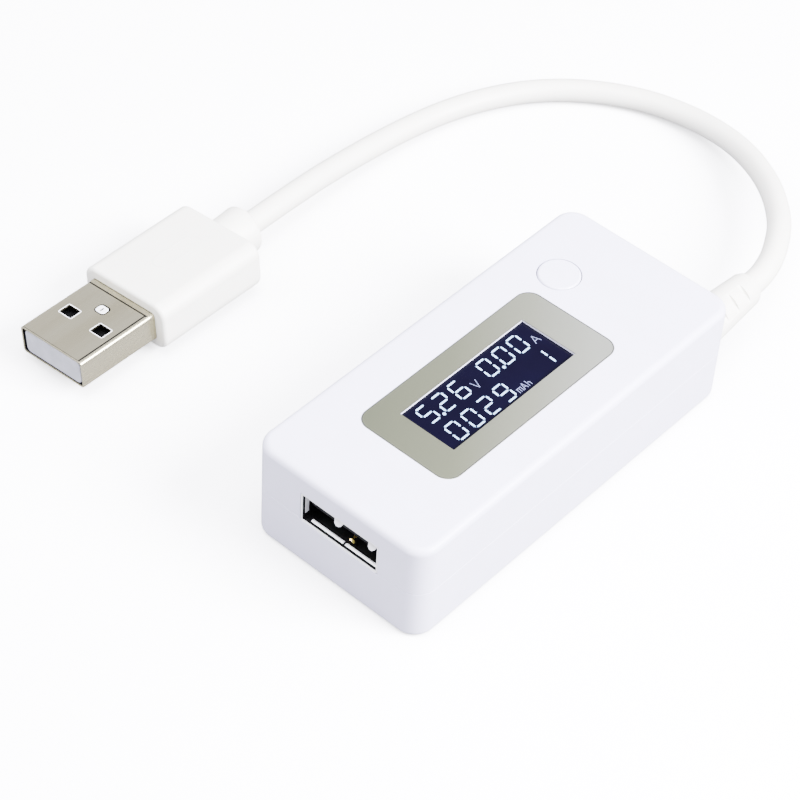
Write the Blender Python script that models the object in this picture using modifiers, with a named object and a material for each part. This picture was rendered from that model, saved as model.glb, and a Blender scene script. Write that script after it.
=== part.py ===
"""USB power meter: a small two-part case with a display, a button and a USB socket, on a short lead with a plug.

Metres, +Z up. The origin is under the middle of the case, on the surface that it lies on. The socket faces -Y,
the lead leaves the +Y end beside the +X corner, and the plug lies at -X, pointing the same way as the socket.
"""

import math

import bmesh
import bpy
from mathutils import Vector

# Clearances, and the metal of the connectors
SHEET = 0.0003
GAP = 0.0003  # between pieces that touch on the real meter
SNUG = 0.00025  # around flat pieces that sit in a cut-out
SHARP_ANGLE = math.radians(35)  # edges below it are shaded smooth

# Case, across and up
BODY_WIDTH = 0.0282
WALL = 0.0018
BODY_CORNER = 0.0030
LEAST_CORNER = 0.0008  # of a block that lies inside the outline
TOP_EDGE = 0.0010
BOTTOM_EDGE = 0.0009
LOWER_HEIGHT = 0.0074  # up to the middle of the parting line
LIP_INSET = 0.0011
LIP_HEIGHT = 0.0011
REBATE_INSET = 0.0008

# Plug
PLUG_FRONT = Vector((-0.0513, -0.0308, 0.0043))  # middle of the plug's mouth
PLUG_ROLL = math.radians(-5.5)
PLUG_YAW = math.radians(-0.5)
PLUG_WIDTH = 0.0120
PLUG_HEIGHT = 0.0045
PLUG_REACH = 0.0133  # metal in front of the moulded grip
PLUG_ANCHOR = 0.0045  # metal inside the grip
PLUG_CORNER = 0.0006
INSULATOR_THICKNESS = 0.0017
INSULATOR_GAP = 0.00015
INSULATOR_SETBACK = 0.0002
HOLE_WIDTH = 0.0023
HOLE_LENGTH = 0.0019
HOLE_FROM_MIDDLE = 0.00305
HOLE_FROM_FRONT = 0.0063
GRIP_SIDE = 0.00175  # plastic beside the metal
GRIP_COVER = 0.00145  # plastic above and below the metal
GRIP_LENGTH = 0.0187
GRIP_CORNER = 0.0020
GRIP_EDGE = 0.0005
NECK_INSET = 0.0001  # grip's underside to the neck's
NECK_LENGTH = 0.0044

# Socket for a USB-A plug
SOCKET_PLAY_ACROSS = 0.0002  # on each side of a plug
SOCKET_PLAY_UP = 0.00005
SOCKET_DEPTH = 0.0140
SOCKET_SETBACK = 0.00015
SOCKET_X = 0.0006
HEADROOM = 0.00135  # free height between the socket and the top wall
TONGUE_PLAY = 0.00015  # on each side, inside a plug's shell
TONGUE_THICKNESS = 0.0018
TONGUE_SETBACK = 0.0010
TONGUE_DROP = 0.00055  # from the socket's inner roof to the tongue
TONGUE_ROOT = 0.0012
SOCKET_CORNER = 0.0005

# Contacts, the same in the socket and in the plug
CONTACT_WIDTH = 0.0010
CONTACT_THICKNESS = 0.0003
CONTACT_LENGTH = 0.0080
SOCKET_CONTACT_START = 0.0020  # behind the socket's front edge
PLUG_CONTACT_START = 0.0008  # behind the plug's front edge
CONTACT_SINK = 0.0002  # how far a contact lies below the plastic around it
CONTACT_PLACES = (-0.0035, -0.0010, 0.0010, 0.0035)

# Display, from the window outwards
WINDOW_WIDTH = 0.00885
WINDOW_LENGTH = 0.0236
WINDOW_X = 0.0004
WINDOW_SINK = 0.00025
LENS_THICKNESS = 0.0013
LABEL_THICKNESS = 0.0004
LABEL_CORNER = 0.0022
LABEL_FRONT_MARGIN = 0.0048
LABEL_REAR_MARGIN = 0.0054
LABEL_SIDE_MARGIN = 0.0035
GLASS_MARGIN = 0.0022
GLASS_THICKNESS = 0.0011
FRAME_MARGIN = 0.0015
FRAME_REAR_MARGIN = 0.0010
FRAME_WALL = 0.0008
FRAME_CLEARANCE = 0.0006
STRIP_THICKNESS = 0.0018

# Button and its switch
BUTTON_DIAMETER = 0.0059
BUTTON_CLEARANCE = 0.0003
BUTTON_FROM_SIDE = 0.0080
BUTTON_FROM_LABEL = 0.0049  # label's rear edge to the button's centre
BUTTON_PROUD = 0.00015
BUTTON_TRAVEL = 0.0005
BUTTON_FLANGE = 0.0008  # width and thickness of the cap's retaining rim
BUTTON_EDGE = 0.0002
SWITCH_SIZE = 0.0060
SWITCH_HEIGHT = 0.0035
SWITCH_BASE = 0.0012  # plastic under the plunger's well
PLUNGER_DIAMETER = 0.0032
REAR_MARGIN = 0.01215  # button's centre to the rear face

# Circuit board
BOARD_THICKNESS = 0.0010
BOARD_CORNER = 0.0010
CHIP_EDGE = 0.0002
POST_RADIUS = 0.0015
POST_INSET = 0.0030

# Lead
CORD_DIAMETER = 0.0035
RELIEF_RADIUS = 0.0033
RELIEF_END_RADIUS = 0.0025
RELIEF_EDGE = 0.0004
RELIEF_NECK_RADIUS = 0.0023
RELIEF_FLANGE = 0.0010
RELIEF_FLANGE_RADIUS = 0.0029
RELIEF_SIDE = 0.0007  # from the flange to the side wall
RELIEF_LENGTH = 0.0117
RELIEF_NOTCHES = (0.0032, 0.0059, 0.0086)  # from the rear face to the middle of each notch
NOTCH_WIDTH = 0.0009
NOTCH_DEPTH = 0.0010
WIRE_DIAMETER = 0.0008
WIRE_PITCH = 0.00125
PAD_PITCH = 0.0020
WIRE_RUN = 0.0065
WIRE_BENDS = (0.15, 0.5, 0.85)  # shares of the run where a core leaves, crosses and reaches its pad's line
WIRE_LIFT = 0.0001  # more than GAP between a core and the board
WIRE_RISE = 0.0002  # a core's rise from its pad to the strain relief
WIRE_POINTS = 9

# The lead's middle line, from the plug to the case. It rises from the surface to the strain relief.
CORD_ROUTE = (
    (-0.0510, 0.0060, 0.00430),
    (-0.0511, 0.0100, 0.00424),
    (-0.0513, 0.0150, 0.00400),
    (-0.0515, 0.0215, 0.00360),
    (-0.0515, 0.0280, 0.00310),
    (-0.0513, 0.0345, 0.00260),
    (-0.0507, 0.0410, 0.00220),
    (-0.0495, 0.0473, 0.00195),
    (-0.0474, 0.0533, 0.00185),
    (-0.0443, 0.0590, 0.00180),
    (-0.0402, 0.0638, 0.00180),
    (-0.0352, 0.0677, 0.00180),
    (-0.0296, 0.0704, 0.00190),
    (-0.0236, 0.0716, 0.00220),
    (-0.0177, 0.0714, 0.00275),
    (-0.0120, 0.0699, 0.00350),
    (-0.0064, 0.0670, 0.00440),
    (-0.0012, 0.0629, 0.00540),
    (0.0035, 0.0576, 0.00630),
    (0.0069, 0.0515, 0.00700),
    (0.0084, 0.0468, 0.00735),
    (0.0087, 0.04315, 0.00740),
)
CORD_POINTS = 52

# Sizes that follow
SOCKET_WIDTH = PLUG_WIDTH + 2 * (SOCKET_PLAY_ACROSS + SHEET)
SOCKET_HEIGHT = PLUG_HEIGHT + 2 * (SOCKET_PLAY_UP + SHEET)
TONGUE_WIDTH = PLUG_WIDTH - 2 * (SHEET + TONGUE_PLAY)
GRIP_WIDTH = PLUG_WIDTH + 2 * GRIP_SIDE
GRIP_HEIGHT = PLUG_HEIGHT + 2 * GRIP_COVER
NECK_RADIUS = GRIP_HEIGHT / 2 - NECK_INSET

# Heights that follow
SOCKET_BOTTOM = LOWER_HEIGHT + SNUG
SOCKET_TOP = SOCKET_BOTTOM + SOCKET_HEIGHT
TOP_INSIDE = SOCKET_TOP + HEADROOM
BODY_HEIGHT = TOP_INSIDE + WALL
BOARD_TOP = SOCKET_BOTTOM - GAP
BOARD_BOTTOM = BOARD_TOP - BOARD_THICKNESS
ON_BOARD = BOARD_TOP + GAP  # where a piece on the board starts
GLASS_TOP = TOP_INSIDE - GAP
GLASS_BOTTOM = GLASS_TOP - GLASS_THICKNESS
SWITCH_TOP = ON_BOARD + SWITCH_HEIGHT
FLANGE_TOP = TOP_INSIDE - GAP

# Places along the case, from its front face to its rear face
SOCKET_LENGTH = SOCKET_SETBACK + SOCKET_DEPTH
WINDOW_OFFSET = SOCKET_LENGTH + FRAME_CLEARANCE + FRAME_MARGIN
LABEL_LENGTH = LABEL_FRONT_MARGIN + WINDOW_LENGTH + LABEL_REAR_MARGIN
LABEL_OFFSET = WINDOW_OFFSET - LABEL_FRONT_MARGIN
BUTTON_OFFSET = LABEL_OFFSET + LABEL_LENGTH + BUTTON_FROM_LABEL
BODY_LENGTH = BUTTON_OFFSET + REAR_MARGIN
FRONT = -BODY_LENGTH / 2
REAR = BODY_LENGTH / 2
WINDOW_Y = FRONT + WINDOW_OFFSET + WINDOW_LENGTH / 2
LABEL_Y = FRONT + LABEL_OFFSET + LABEL_LENGTH / 2
FRAME_FRONT = FRONT + SOCKET_LENGTH + FRAME_CLEARANCE
FRAME_REAR = WINDOW_Y + WINDOW_LENGTH / 2 + FRAME_REAR_MARGIN
STRIP_FRONT = FRAME_REAR + GAP
GLASS_REAR = STRIP_FRONT + STRIP_THICKNESS + GAP
BUTTON_X = BUTTON_FROM_SIDE - BODY_WIDTH / 2
BUTTON_Y = FRONT + BUTTON_OFFSET
GLASS_WIDTH = WINDOW_WIDTH + 2 * GLASS_MARGIN
LABEL_WIDTH = WINDOW_WIDTH + 2 * LABEL_SIDE_MARGIN
RELIEF_X = BODY_WIDTH / 2 - WALL - RELIEF_SIDE - RELIEF_FLANGE_RADIUS
RELIEF_Z = LOWER_HEIGHT
FLANGE_REAR = REAR - WALL - GAP
FLANGE_FRONT = FLANGE_REAR - RELIEF_FLANGE
BOARD_FRONT = FRONT + WALL + GAP
BOARD_REAR = FLANGE_FRONT - 2 * GAP
BOARD_WIDTH = BODY_WIDTH - 2 * (WALL + GAP)

# Colours are linear RGB, followed by roughness and metallic.
FINISHES = {
    "white_shell": ((0.86, 0.85, 0.88), 0.35, 0.0),
    "white_lead": ((0.88, 0.87, 0.86), 0.45, 0.0),
    "label": ((0.46, 0.46, 0.42), 0.40, 0.6),
    "screen": ((0.02, 0.015, 0.06), 0.12, 0.0),
    "nickel": ((0.66, 0.63, 0.56), 0.28, 1.0),
    "gold": ((0.85, 0.62, 0.25), 0.30, 1.0),
    "insulator": ((0.80, 0.78, 0.86), 0.50, 0.0),
    "board": ((0.02, 0.16, 0.06), 0.45, 0.0),
    "chip": ((0.02, 0.02, 0.02), 0.50, 0.0),
    "rubber": ((0.12, 0.12, 0.14), 0.80, 0.0),
    "red": ((0.55, 0.02, 0.02), 0.45, 0.0),
    "black": ((0.02, 0.02, 0.02), 0.45, 0.0),
    "green": ((0.02, 0.30, 0.06), 0.45, 0.0),
}


def clear_scene():
    for thing in list(bpy.data.objects):
        bpy.data.objects.remove(thing, do_unlink=True)


def collection(name):
    made = bpy.data.collections.new(name)
    bpy.context.scene.collection.children.link(made)
    return made


def finish(name):
    """The material of this name, made the first time that it is asked for."""
    if name in bpy.data.materials:
        return bpy.data.materials[name]
    colour, roughness, metallic = FINISHES[name]
    made = bpy.data.materials.new(name)
    made.use_nodes = True
    shader = made.node_tree.nodes["Principled BSDF"]
    shader.inputs["Base Color"].default_value = (*colour, 1)
    shader.inputs["Roughness"].default_value = roughness
    shader.inputs["Metallic"].default_value = metallic
    return made


clear_scene()
PARTS = collection("usb_power_meter")
CUTTERS = collection("cutters")


def place(data, name, look):
    """Puts data in the scene: a named part with its finish, or a cutter when look is None."""
    made = bpy.data.objects.new(name, data)
    if look:
        PARTS.objects.link(made)
        data.materials.append(finish(look))
    else:
        CUTTERS.objects.link(made)
        made.hide_render = True
        made.display_type = "WIRE"
    return made


def from_bmesh(shape, name, look):
    data = bpy.data.meshes.new(name)
    bmesh.ops.recalc_face_normals(shape, faces=shape.faces)
    shape.to_mesh(data)
    shape.free()
    data.shade_smooth()
    data.set_sharp_from_angle(angle=SHARP_ANGLE)
    return place(data, name, look)


def bevel(shape, edges, radius, segments):
    bmesh.ops.bevel(
        shape, geom=edges, offset=radius, segments=segments, profile=0.5, affect="EDGES", clamp_overlap=True
    )


def level_edges(shape, height):
    return [e for e in shape.edges if all(abs(v.co.z - height) < 1e-7 for v in e.verts)]


def along(edge, axis):
    run = edge.verts[1].co - edge.verts[0].co
    return abs(run[axis]) > 0.999 * run.length


def block(name, look, low, high, corner=0.0, top=0.0, bottom=0.0, axis=2, segments=5):
    """A box from low to high. Its edges along axis get the corner radius, its top and bottom edges theirs."""
    low, high = Vector(low), Vector(high)
    shape = bmesh.new()
    bmesh.ops.create_cube(shape, size=1)
    bmesh.ops.scale(shape, vec=high - low, verts=shape.verts)
    bmesh.ops.translate(shape, vec=(low + high) / 2, verts=shape.verts)
    if corner:
        bevel(shape, [e for e in shape.edges if along(e, axis)], corner, segments)
    if top:
        bevel(shape, level_edges(shape, high.z), top, 3)
    if bottom:
        bevel(shape, level_edges(shape, low.z), bottom, 3)
    return from_bmesh(shape, name, look)


def inset_block(name, look, inset, bottom, top, top_edge=0.0, bottom_edge=0.0):
    """A block with the case's outline, moved in by inset."""
    half_width = BODY_WIDTH / 2 - inset
    half_length = BODY_LENGTH / 2 - inset
    return block(
        name,
        look,
        (-half_width, -half_length, bottom),
        (half_width, half_length, top),
        corner=max(BODY_CORNER - inset, LEAST_CORNER),
        top=top_edge,
        bottom=bottom_edge,
    )


def cylinder(name, look, radius, low, high, segments=32):
    """A cylinder whose ends are centred on the points low and high."""
    low, high = Vector(low), Vector(high)
    shape = bmesh.new()
    bmesh.ops.create_cone(
        shape, cap_ends=True, segments=segments, radius1=radius, radius2=radius, depth=(high - low).length
    )
    turned = (high - low).to_track_quat("Z", "Y").to_matrix()
    bmesh.ops.rotate(shape, cent=(0, 0, 0), matrix=turned, verts=shape.verts)
    bmesh.ops.translate(shape, vec=(low + high) / 2, verts=shape.verts)
    return from_bmesh(shape, name, look)


def turned(name, look, profile, steps=32):
    """A solid of revolution about its own Z axis, from (radius, height) points that run from top to bottom."""
    shape = bmesh.new()
    corners = [shape.verts.new((radius, 0, height)) for radius, height in profile]
    for first, second in zip(corners, corners[1:]):
        shape.edges.new((first, second))
    data = bpy.data.meshes.new(name)
    shape.to_mesh(data)
    shape.free()
    made = place(data, name, look)
    screw = made.modifiers.new("turn", "SCREW")
    screw.steps = screw.render_steps = steps
    screw.use_merge_vertices = True
    screw.merge_threshold = 1e-6
    return made


def combine(part, other, operation):
    step = part.modifiers.new(other.name, "BOOLEAN")
    step.operation = operation
    step.object = other


def cut(part, *cutters):
    for cutter in cutters:
        combine(part, cutter, "DIFFERENCE")


def join(part, *others):
    for other in others:
        combine(part, other, "UNION")


def smooth_route(points, count):
    """count points, evenly spaced by length, on a Catmull-Rom curve through the given ones."""
    points = [Vector(p) for p in points]
    ends = [2 * points[0] - points[1], *points, 2 * points[-1] - points[-2]]
    fine = []
    for a, b, c, d in zip(ends, ends[1:], ends[2:], ends[3:]):
        for step in range(20):
            t = step / 20
            fine.append(
                0.5 * (2 * b + (c - a) * t + (2 * a - 5 * b + 4 * c - d) * t**2 + (3 * b - a - 3 * c + d) * t**3)
            )
    fine.append(points[-1])
    reached = [0.0]
    for a, b in zip(fine, fine[1:]):
        reached.append(reached[-1] + (b - a).length)
    route = []
    index = 0
    for number in range(count):
        wanted = reached[-1] * number / (count - 1)
        while index < len(fine) - 2 and reached[index + 1] < wanted:
            index += 1
        share = (wanted - reached[index]) / (reached[index + 1] - reached[index])
        route.append(fine[index].lerp(fine[index + 1], share))
    return route


def tube(name, look, points, diameter, sides=2):
    """A tube along points, closed at both ends."""
    data = bpy.data.curves.new(name, "CURVE")
    data.dimensions = "3D"
    data.bevel_depth = diameter / 2
    data.bevel_resolution = sides
    data.use_fill_caps = True
    spline = data.splines.new("POLY")
    spline.points.add(len(points) - 1)
    for target, point in zip(spline.points, points):
        target.co = (*point, 1)
    return place(data, name, look)


# ---------------------------------------------------------------- case


def socket_opening():
    """The mouth in the front wall, from the parting line up."""
    half = SOCKET_WIDTH / 2 + SNUG
    return block(
        "socket_opening",
        None,
        (SOCKET_X - half, FRONT - WALL, SOCKET_BOTTOM - SNUG),
        (SOCKET_X + half, FRONT + 2 * WALL, SOCKET_TOP + SNUG),
    )


def cord_opening():
    """The round hole in the rear wall, half in each part of the case."""
    return cylinder(
        "cord_opening",
        None,
        RELIEF_NECK_RADIUS + GAP,
        (RELIEF_X, REAR - 2 * WALL, RELIEF_Z),
        (RELIEF_X, REAR + WALL, RELIEF_Z),
    )


def upper_shell(mouth, hole):
    shell = inset_block("upper_shell", "white_shell", 0, LOWER_HEIGHT + GAP / 2, BODY_HEIGHT, top_edge=TOP_EDGE)
    below = LOWER_HEIGHT - WALL
    half_width = LABEL_WIDTH / 2 + SNUG
    half_length = LABEL_LENGTH / 2 + SNUG
    cut(
        shell,
        inset_block("upper_hollow", None, WALL, below, TOP_INSIDE),
        inset_block("lip_rebate", None, REBATE_INSET, below, LOWER_HEIGHT + LIP_HEIGHT + GAP),
        block(
            "label_recess",
            None,
            (WINDOW_X - half_width, LABEL_Y - half_length, BODY_HEIGHT - LABEL_THICKNESS - GAP),
            (WINDOW_X + half_width, LABEL_Y + half_length, BODY_HEIGHT + WALL),
            corner=LABEL_CORNER + SNUG,
        ),
        window_block("window_hole", None, 0.0, TOP_INSIDE - WALL, BODY_HEIGHT + WALL),
        cylinder(
            "button_hole",
            None,
            BUTTON_DIAMETER / 2 + BUTTON_CLEARANCE,
            (BUTTON_X, BUTTON_Y, TOP_INSIDE - WALL),
            (BUTTON_X, BUTTON_Y, BODY_HEIGHT + WALL),
        ),
        mouth,
        hole,
    )
    return shell


def lower_shell(mouth, hole):
    shell = inset_block("lower_shell", "white_shell", 0, 0, LOWER_HEIGHT - GAP / 2, bottom_edge=BOTTOM_EDGE)
    join(shell, inset_block("lip", None, LIP_INSET, LOWER_HEIGHT - WALL, LOWER_HEIGHT + LIP_HEIGHT))
    cut(shell, inset_block("lower_hollow", None, WALL, WALL, BODY_HEIGHT))
    for number, (x, y) in enumerate(post_places(), 1):
        post = cylinder(
            f"board_post_{number}", None, POST_RADIUS, (x, y, WALL / 2), (x, y, BOARD_BOTTOM - GAP), segments=20
        )
        join(shell, post)
    cut(shell, mouth, hole)
    return shell


def post_places():
    x = BOARD_WIDTH / 2 - POST_INSET
    return [(side * x, y) for side in (-1, 1) for y in (BOARD_FRONT + POST_INSET, BOARD_REAR - POST_INSET)]


# ---------------------------------------------------------------- display


def window_block(name, look, inset, bottom, top):
    half_width = WINDOW_WIDTH / 2 - inset
    half_length = WINDOW_LENGTH / 2 - inset
    low = (WINDOW_X - half_width, WINDOW_Y - half_length, bottom)
    return block(name, look, low, (WINDOW_X + half_width, WINDOW_Y + half_length, top))


def label_plate():
    half_width = LABEL_WIDTH / 2
    half_length = LABEL_LENGTH / 2
    plate = block(
        "label_plate",
        "label",
        (WINDOW_X - half_width, LABEL_Y - half_length, BODY_HEIGHT - LABEL_THICKNESS),
        (WINDOW_X + half_width, LABEL_Y + half_length, BODY_HEIGHT),
        corner=LABEL_CORNER,
    )
    cut(plate, window_block("label_window", None, 0.0, TOP_INSIDE, BODY_HEIGHT + WALL))
    return plate


def display_window():
    top = BODY_HEIGHT - WINDOW_SINK
    return window_block("display_window", "screen", SNUG, top - LENS_THICKNESS, top)


def lcd_block(name, look, front, rear, bottom, top, margin=0.0):
    half = GLASS_WIDTH / 2 - margin
    return block(name, look, (WINDOW_X - half, front, bottom), (WINDOW_X + half, rear, top))


def lcd_module():
    """The glass lies over the light box and, at its rear end, over the rubber strip that feeds it."""
    frame_top = GLASS_BOTTOM - GAP
    lcd_block("lcd_glass", "screen", FRAME_FRONT, GLASS_REAR, GLASS_BOTTOM, GLASS_TOP)
    frame = lcd_block("lcd_frame", "white_shell", FRAME_FRONT, FRAME_REAR, ON_BOARD, frame_top)
    inside = FRAME_WALL
    floor = ON_BOARD + FRAME_WALL
    cut(frame, lcd_block("frame_hollow", None, FRAME_FRONT + inside, FRAME_REAR - inside, floor, BODY_HEIGHT, inside))
    inside += GAP
    lcd_block(
        "lcd_backlight",
        "insulator",
        FRAME_FRONT + inside,
        FRAME_REAR - inside,
        floor + GAP,
        frame_top,
        inside,
    )
    lcd_block(
        "lcd_connector_strip", "rubber", STRIP_FRONT, STRIP_FRONT + STRIP_THICKNESS, ON_BOARD, frame_top, FRAME_WALL
    )


# ---------------------------------------------------------------- button


def mode_button():
    """The cap: a stem through the top wall, over a rim that the wall holds back."""
    stem = BUTTON_DIAMETER / 2
    rim = stem + BUTTON_CLEARANCE + BUTTON_FLANGE
    top = BODY_HEIGHT + BUTTON_PROUD
    bottom = FLANGE_TOP - BUTTON_FLANGE
    profile = (
        (0, top),
        (stem - BUTTON_EDGE, top),
        (stem, top - BUTTON_EDGE),
        (stem, FLANGE_TOP),
        (rim, FLANGE_TOP),
        (rim, bottom),
        (0, bottom),
    )
    cap = turned("mode_button", "white_shell", profile)
    cap.location = (BUTTON_X, BUTTON_Y, 0)
    return bottom


def tact_switch(cap_bottom):
    """The switch's case, and the plunger that the cap pushes down into it."""
    well_floor = ON_BOARD + SWITCH_BASE
    half = SWITCH_SIZE / 2
    case = block(
        "switch_body",
        "chip",
        (BUTTON_X - half, BUTTON_Y - half, ON_BOARD),
        (BUTTON_X + half, BUTTON_Y + half, SWITCH_TOP),
    )
    middle = Vector((BUTTON_X, BUTTON_Y, 0))
    up = Vector((0, 0, 1))
    well = cylinder(
        "switch_well", None, PLUNGER_DIAMETER / 2 + GAP, middle + up * well_floor, middle + up * (SWITCH_TOP + WALL)
    )
    cut(case, well)
    cylinder(
        "switch_plunger",
        "chip",
        PLUNGER_DIAMETER / 2,
        middle + up * (well_floor + GAP + BUTTON_TRAVEL),
        middle + up * (cap_bottom - GAP),
        segments=24,
    )


# ---------------------------------------------------------------- socket


def contact_strips(prefix, front, surface, facing, x=0.0):
    """Four contacts that run back from front, sunk in a surface that faces up (1) or down (-1). Returns their grooves."""
    grooves = []
    near = surface - facing * CONTACT_SINK
    far = near - facing * CONTACT_THICKNESS
    bed = far - facing * SNUG
    clear = surface + facing * WALL
    for number, place_x in enumerate(CONTACT_PLACES, 1):
        half = CONTACT_WIDTH / 2
        middle = x + place_x
        block(
            f"{prefix}_contact_{number}",
            "gold",
            (middle - half, front, min(near, far)),
            (middle + half, front + CONTACT_LENGTH, max(near, far)),
        )
        groove = block(
            f"{prefix}_groove_{number}",
            None,
            (middle - half - SNUG, front - SNUG, min(bed, clear)),
            (middle + half + SNUG, front + CONTACT_LENGTH + SNUG, max(bed, clear)),
        )
        grooves.append(groove)
    return grooves


def usb_socket():
    """A box of bent sheet, open at the front, with the contact tongue in its upper half."""
    front = FRONT + SOCKET_SETBACK
    rear = front + SOCKET_DEPTH
    half = SOCKET_WIDTH / 2
    shell = block(
        "socket_shell",
        "nickel",
        (SOCKET_X - half, front, SOCKET_BOTTOM),
        (SOCKET_X + half, rear, SOCKET_TOP),
        corner=SOCKET_CORNER,
        axis=1,
        segments=2,
    )
    inner_half = half - SHEET
    hollow = block(
        "socket_hollow",
        None,
        (SOCKET_X - inner_half, front - WALL, SOCKET_BOTTOM + SHEET),
        (SOCKET_X + inner_half, rear - SHEET, SOCKET_TOP - SHEET),
    )
    cut(shell, hollow)
    tongue_top = SOCKET_TOP - SHEET - TONGUE_DROP
    tongue_bottom = tongue_top - TONGUE_THICKNESS
    root_front = rear - SHEET - GAP - TONGUE_ROOT
    tongue = block(
        "socket_tongue",
        "chip",
        (SOCKET_X - TONGUE_WIDTH / 2, front + TONGUE_SETBACK, tongue_bottom),
        (SOCKET_X + TONGUE_WIDTH / 2, root_front + TONGUE_ROOT / 2, tongue_top),
    )
    root = block(
        "tongue_root",
        None,
        (SOCKET_X - inner_half + GAP, root_front, SOCKET_BOTTOM + SHEET + GAP),
        (SOCKET_X + inner_half - GAP, root_front + TONGUE_ROOT, SOCKET_TOP - SHEET - GAP),
    )
    join(tongue, root)
    cut(tongue, *contact_strips("socket", front + SOCKET_CONTACT_START, tongue_bottom, -1, SOCKET_X))


# ---------------------------------------------------------------- board

# name, look, size along X and Y, height, distance from the board's front edge, place across it
CHIPS = (
    ("microcontroller", "chip", (0.0075, 0.0103), 0.0018, 0.0260, 0.0000),
    ("memory_chip", "chip", (0.0040, 0.0050), 0.0015, 0.0380, -0.0040),
    ("voltage_regulator", "chip", (0.0045, 0.0025), 0.0015, 0.0160, -0.0055),
    ("shunt_resistor", "chip", (0.0064, 0.0032), 0.0008, 0.0450, 0.0040),
    ("clock_crystal", "nickel", (0.0032, 0.0080), 0.0016, 0.0270, 0.0075),
    ("filter_capacitor", "label", (0.0020, 0.0032), 0.0016, 0.0160, 0.0050),
)


def circuit_board():
    half = BOARD_WIDTH / 2
    block(
        "circuit_board",
        "board",
        (-half, BOARD_FRONT, BOARD_BOTTOM),
        (half, BOARD_REAR, BOARD_TOP),
        corner=BOARD_CORNER,
        segments=2,
    )
    for name, look, (width, length), height, from_front, x in CHIPS:
        y = BOARD_FRONT + from_front
        top = BOARD_BOTTOM - GAP
        block(
            name,
            look,
            (x - width / 2, y - length / 2, top - height),
            (x + width / 2, y + length / 2, top),
            bottom=CHIP_EDGE,
        )


# ---------------------------------------------------------------- lead


def strain_relief():
    """Moulded on the lead: an inner flange, a neck in the wall's hole, and a notched taper outside."""
    outside = REAR + GAP
    end = REAR + RELIEF_LENGTH
    profile = (
        (0, end),
        (RELIEF_END_RADIUS - RELIEF_EDGE, end),
        (RELIEF_END_RADIUS, end - RELIEF_EDGE),
        (RELIEF_RADIUS, outside + RELIEF_EDGE),
        (RELIEF_RADIUS, outside),
        (RELIEF_NECK_RADIUS, outside),
        (RELIEF_NECK_RADIUS, FLANGE_REAR),
        (RELIEF_FLANGE_RADIUS, FLANGE_REAR),
        (RELIEF_FLANGE_RADIUS, FLANGE_FRONT),
        (0, FLANGE_FRONT),
    )
    relief = turned("strain_relief", "white_lead", profile)
    relief.rotation_euler = (math.radians(-90), 0, 0)
    relief.location = (RELIEF_X, 0, RELIEF_Z)
    for number, distance in enumerate(RELIEF_NOTCHES, 1):
        taper = (RELIEF_RADIUS - RELIEF_END_RADIUS) * distance / RELIEF_LENGTH
        depth = RELIEF_RADIUS - taper - NOTCH_DEPTH
        for side, name in ((1, "top"), (-1, "bottom")):
            inner = RELIEF_Z + side * depth
            outer = RELIEF_Z + side * (RELIEF_RADIUS + WALL)
            low = (RELIEF_X - RELIEF_RADIUS - WALL, REAR + distance - NOTCH_WIDTH / 2, min(inner, outer))
            high = (RELIEF_X + RELIEF_RADIUS + WALL, REAR + distance + NOTCH_WIDTH / 2, max(inner, outer))
            cut(relief, block(f"relief_notch_{name}_{number}", None, low, high))


def wires():
    """Four cores that fan out from the strain relief's inner end to their pads on the board."""
    names = ("wire_ground", "wire_data_plus", "wire_data_minus", "wire_power")
    looks = ("black", "green", "white_lead", "red")
    height = BOARD_TOP + GAP + WIRE_LIFT + WIRE_DIAMETER / 2
    leave, cross, reach = (share * WIRE_RUN for share in WIRE_BENDS)
    start = FLANGE_FRONT - GAP
    for number, (name, look) in enumerate(zip(names, looks)):
        x = RELIEF_X + (number - 1.5) * WIRE_PITCH
        pad = RELIEF_X - 1.5 * PAD_PITCH + (number - 1.5) * PAD_PITCH
        route = (
            (x, start, height + WIRE_RISE),
            (x, start - leave, height + WIRE_RISE),
            ((x + pad) / 2, start - cross, height + WIRE_RISE),
            (pad, start - reach, height),
            (pad, start - WIRE_RUN, height),
        )
        tube(name, look, smooth_route(route, WIRE_POINTS), WIRE_DIAMETER, sides=1)


def cord():
    tube("cord", "white_lead", smooth_route(CORD_ROUTE, CORD_POINTS), CORD_DIAMETER)


# ---------------------------------------------------------------- plug


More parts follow.
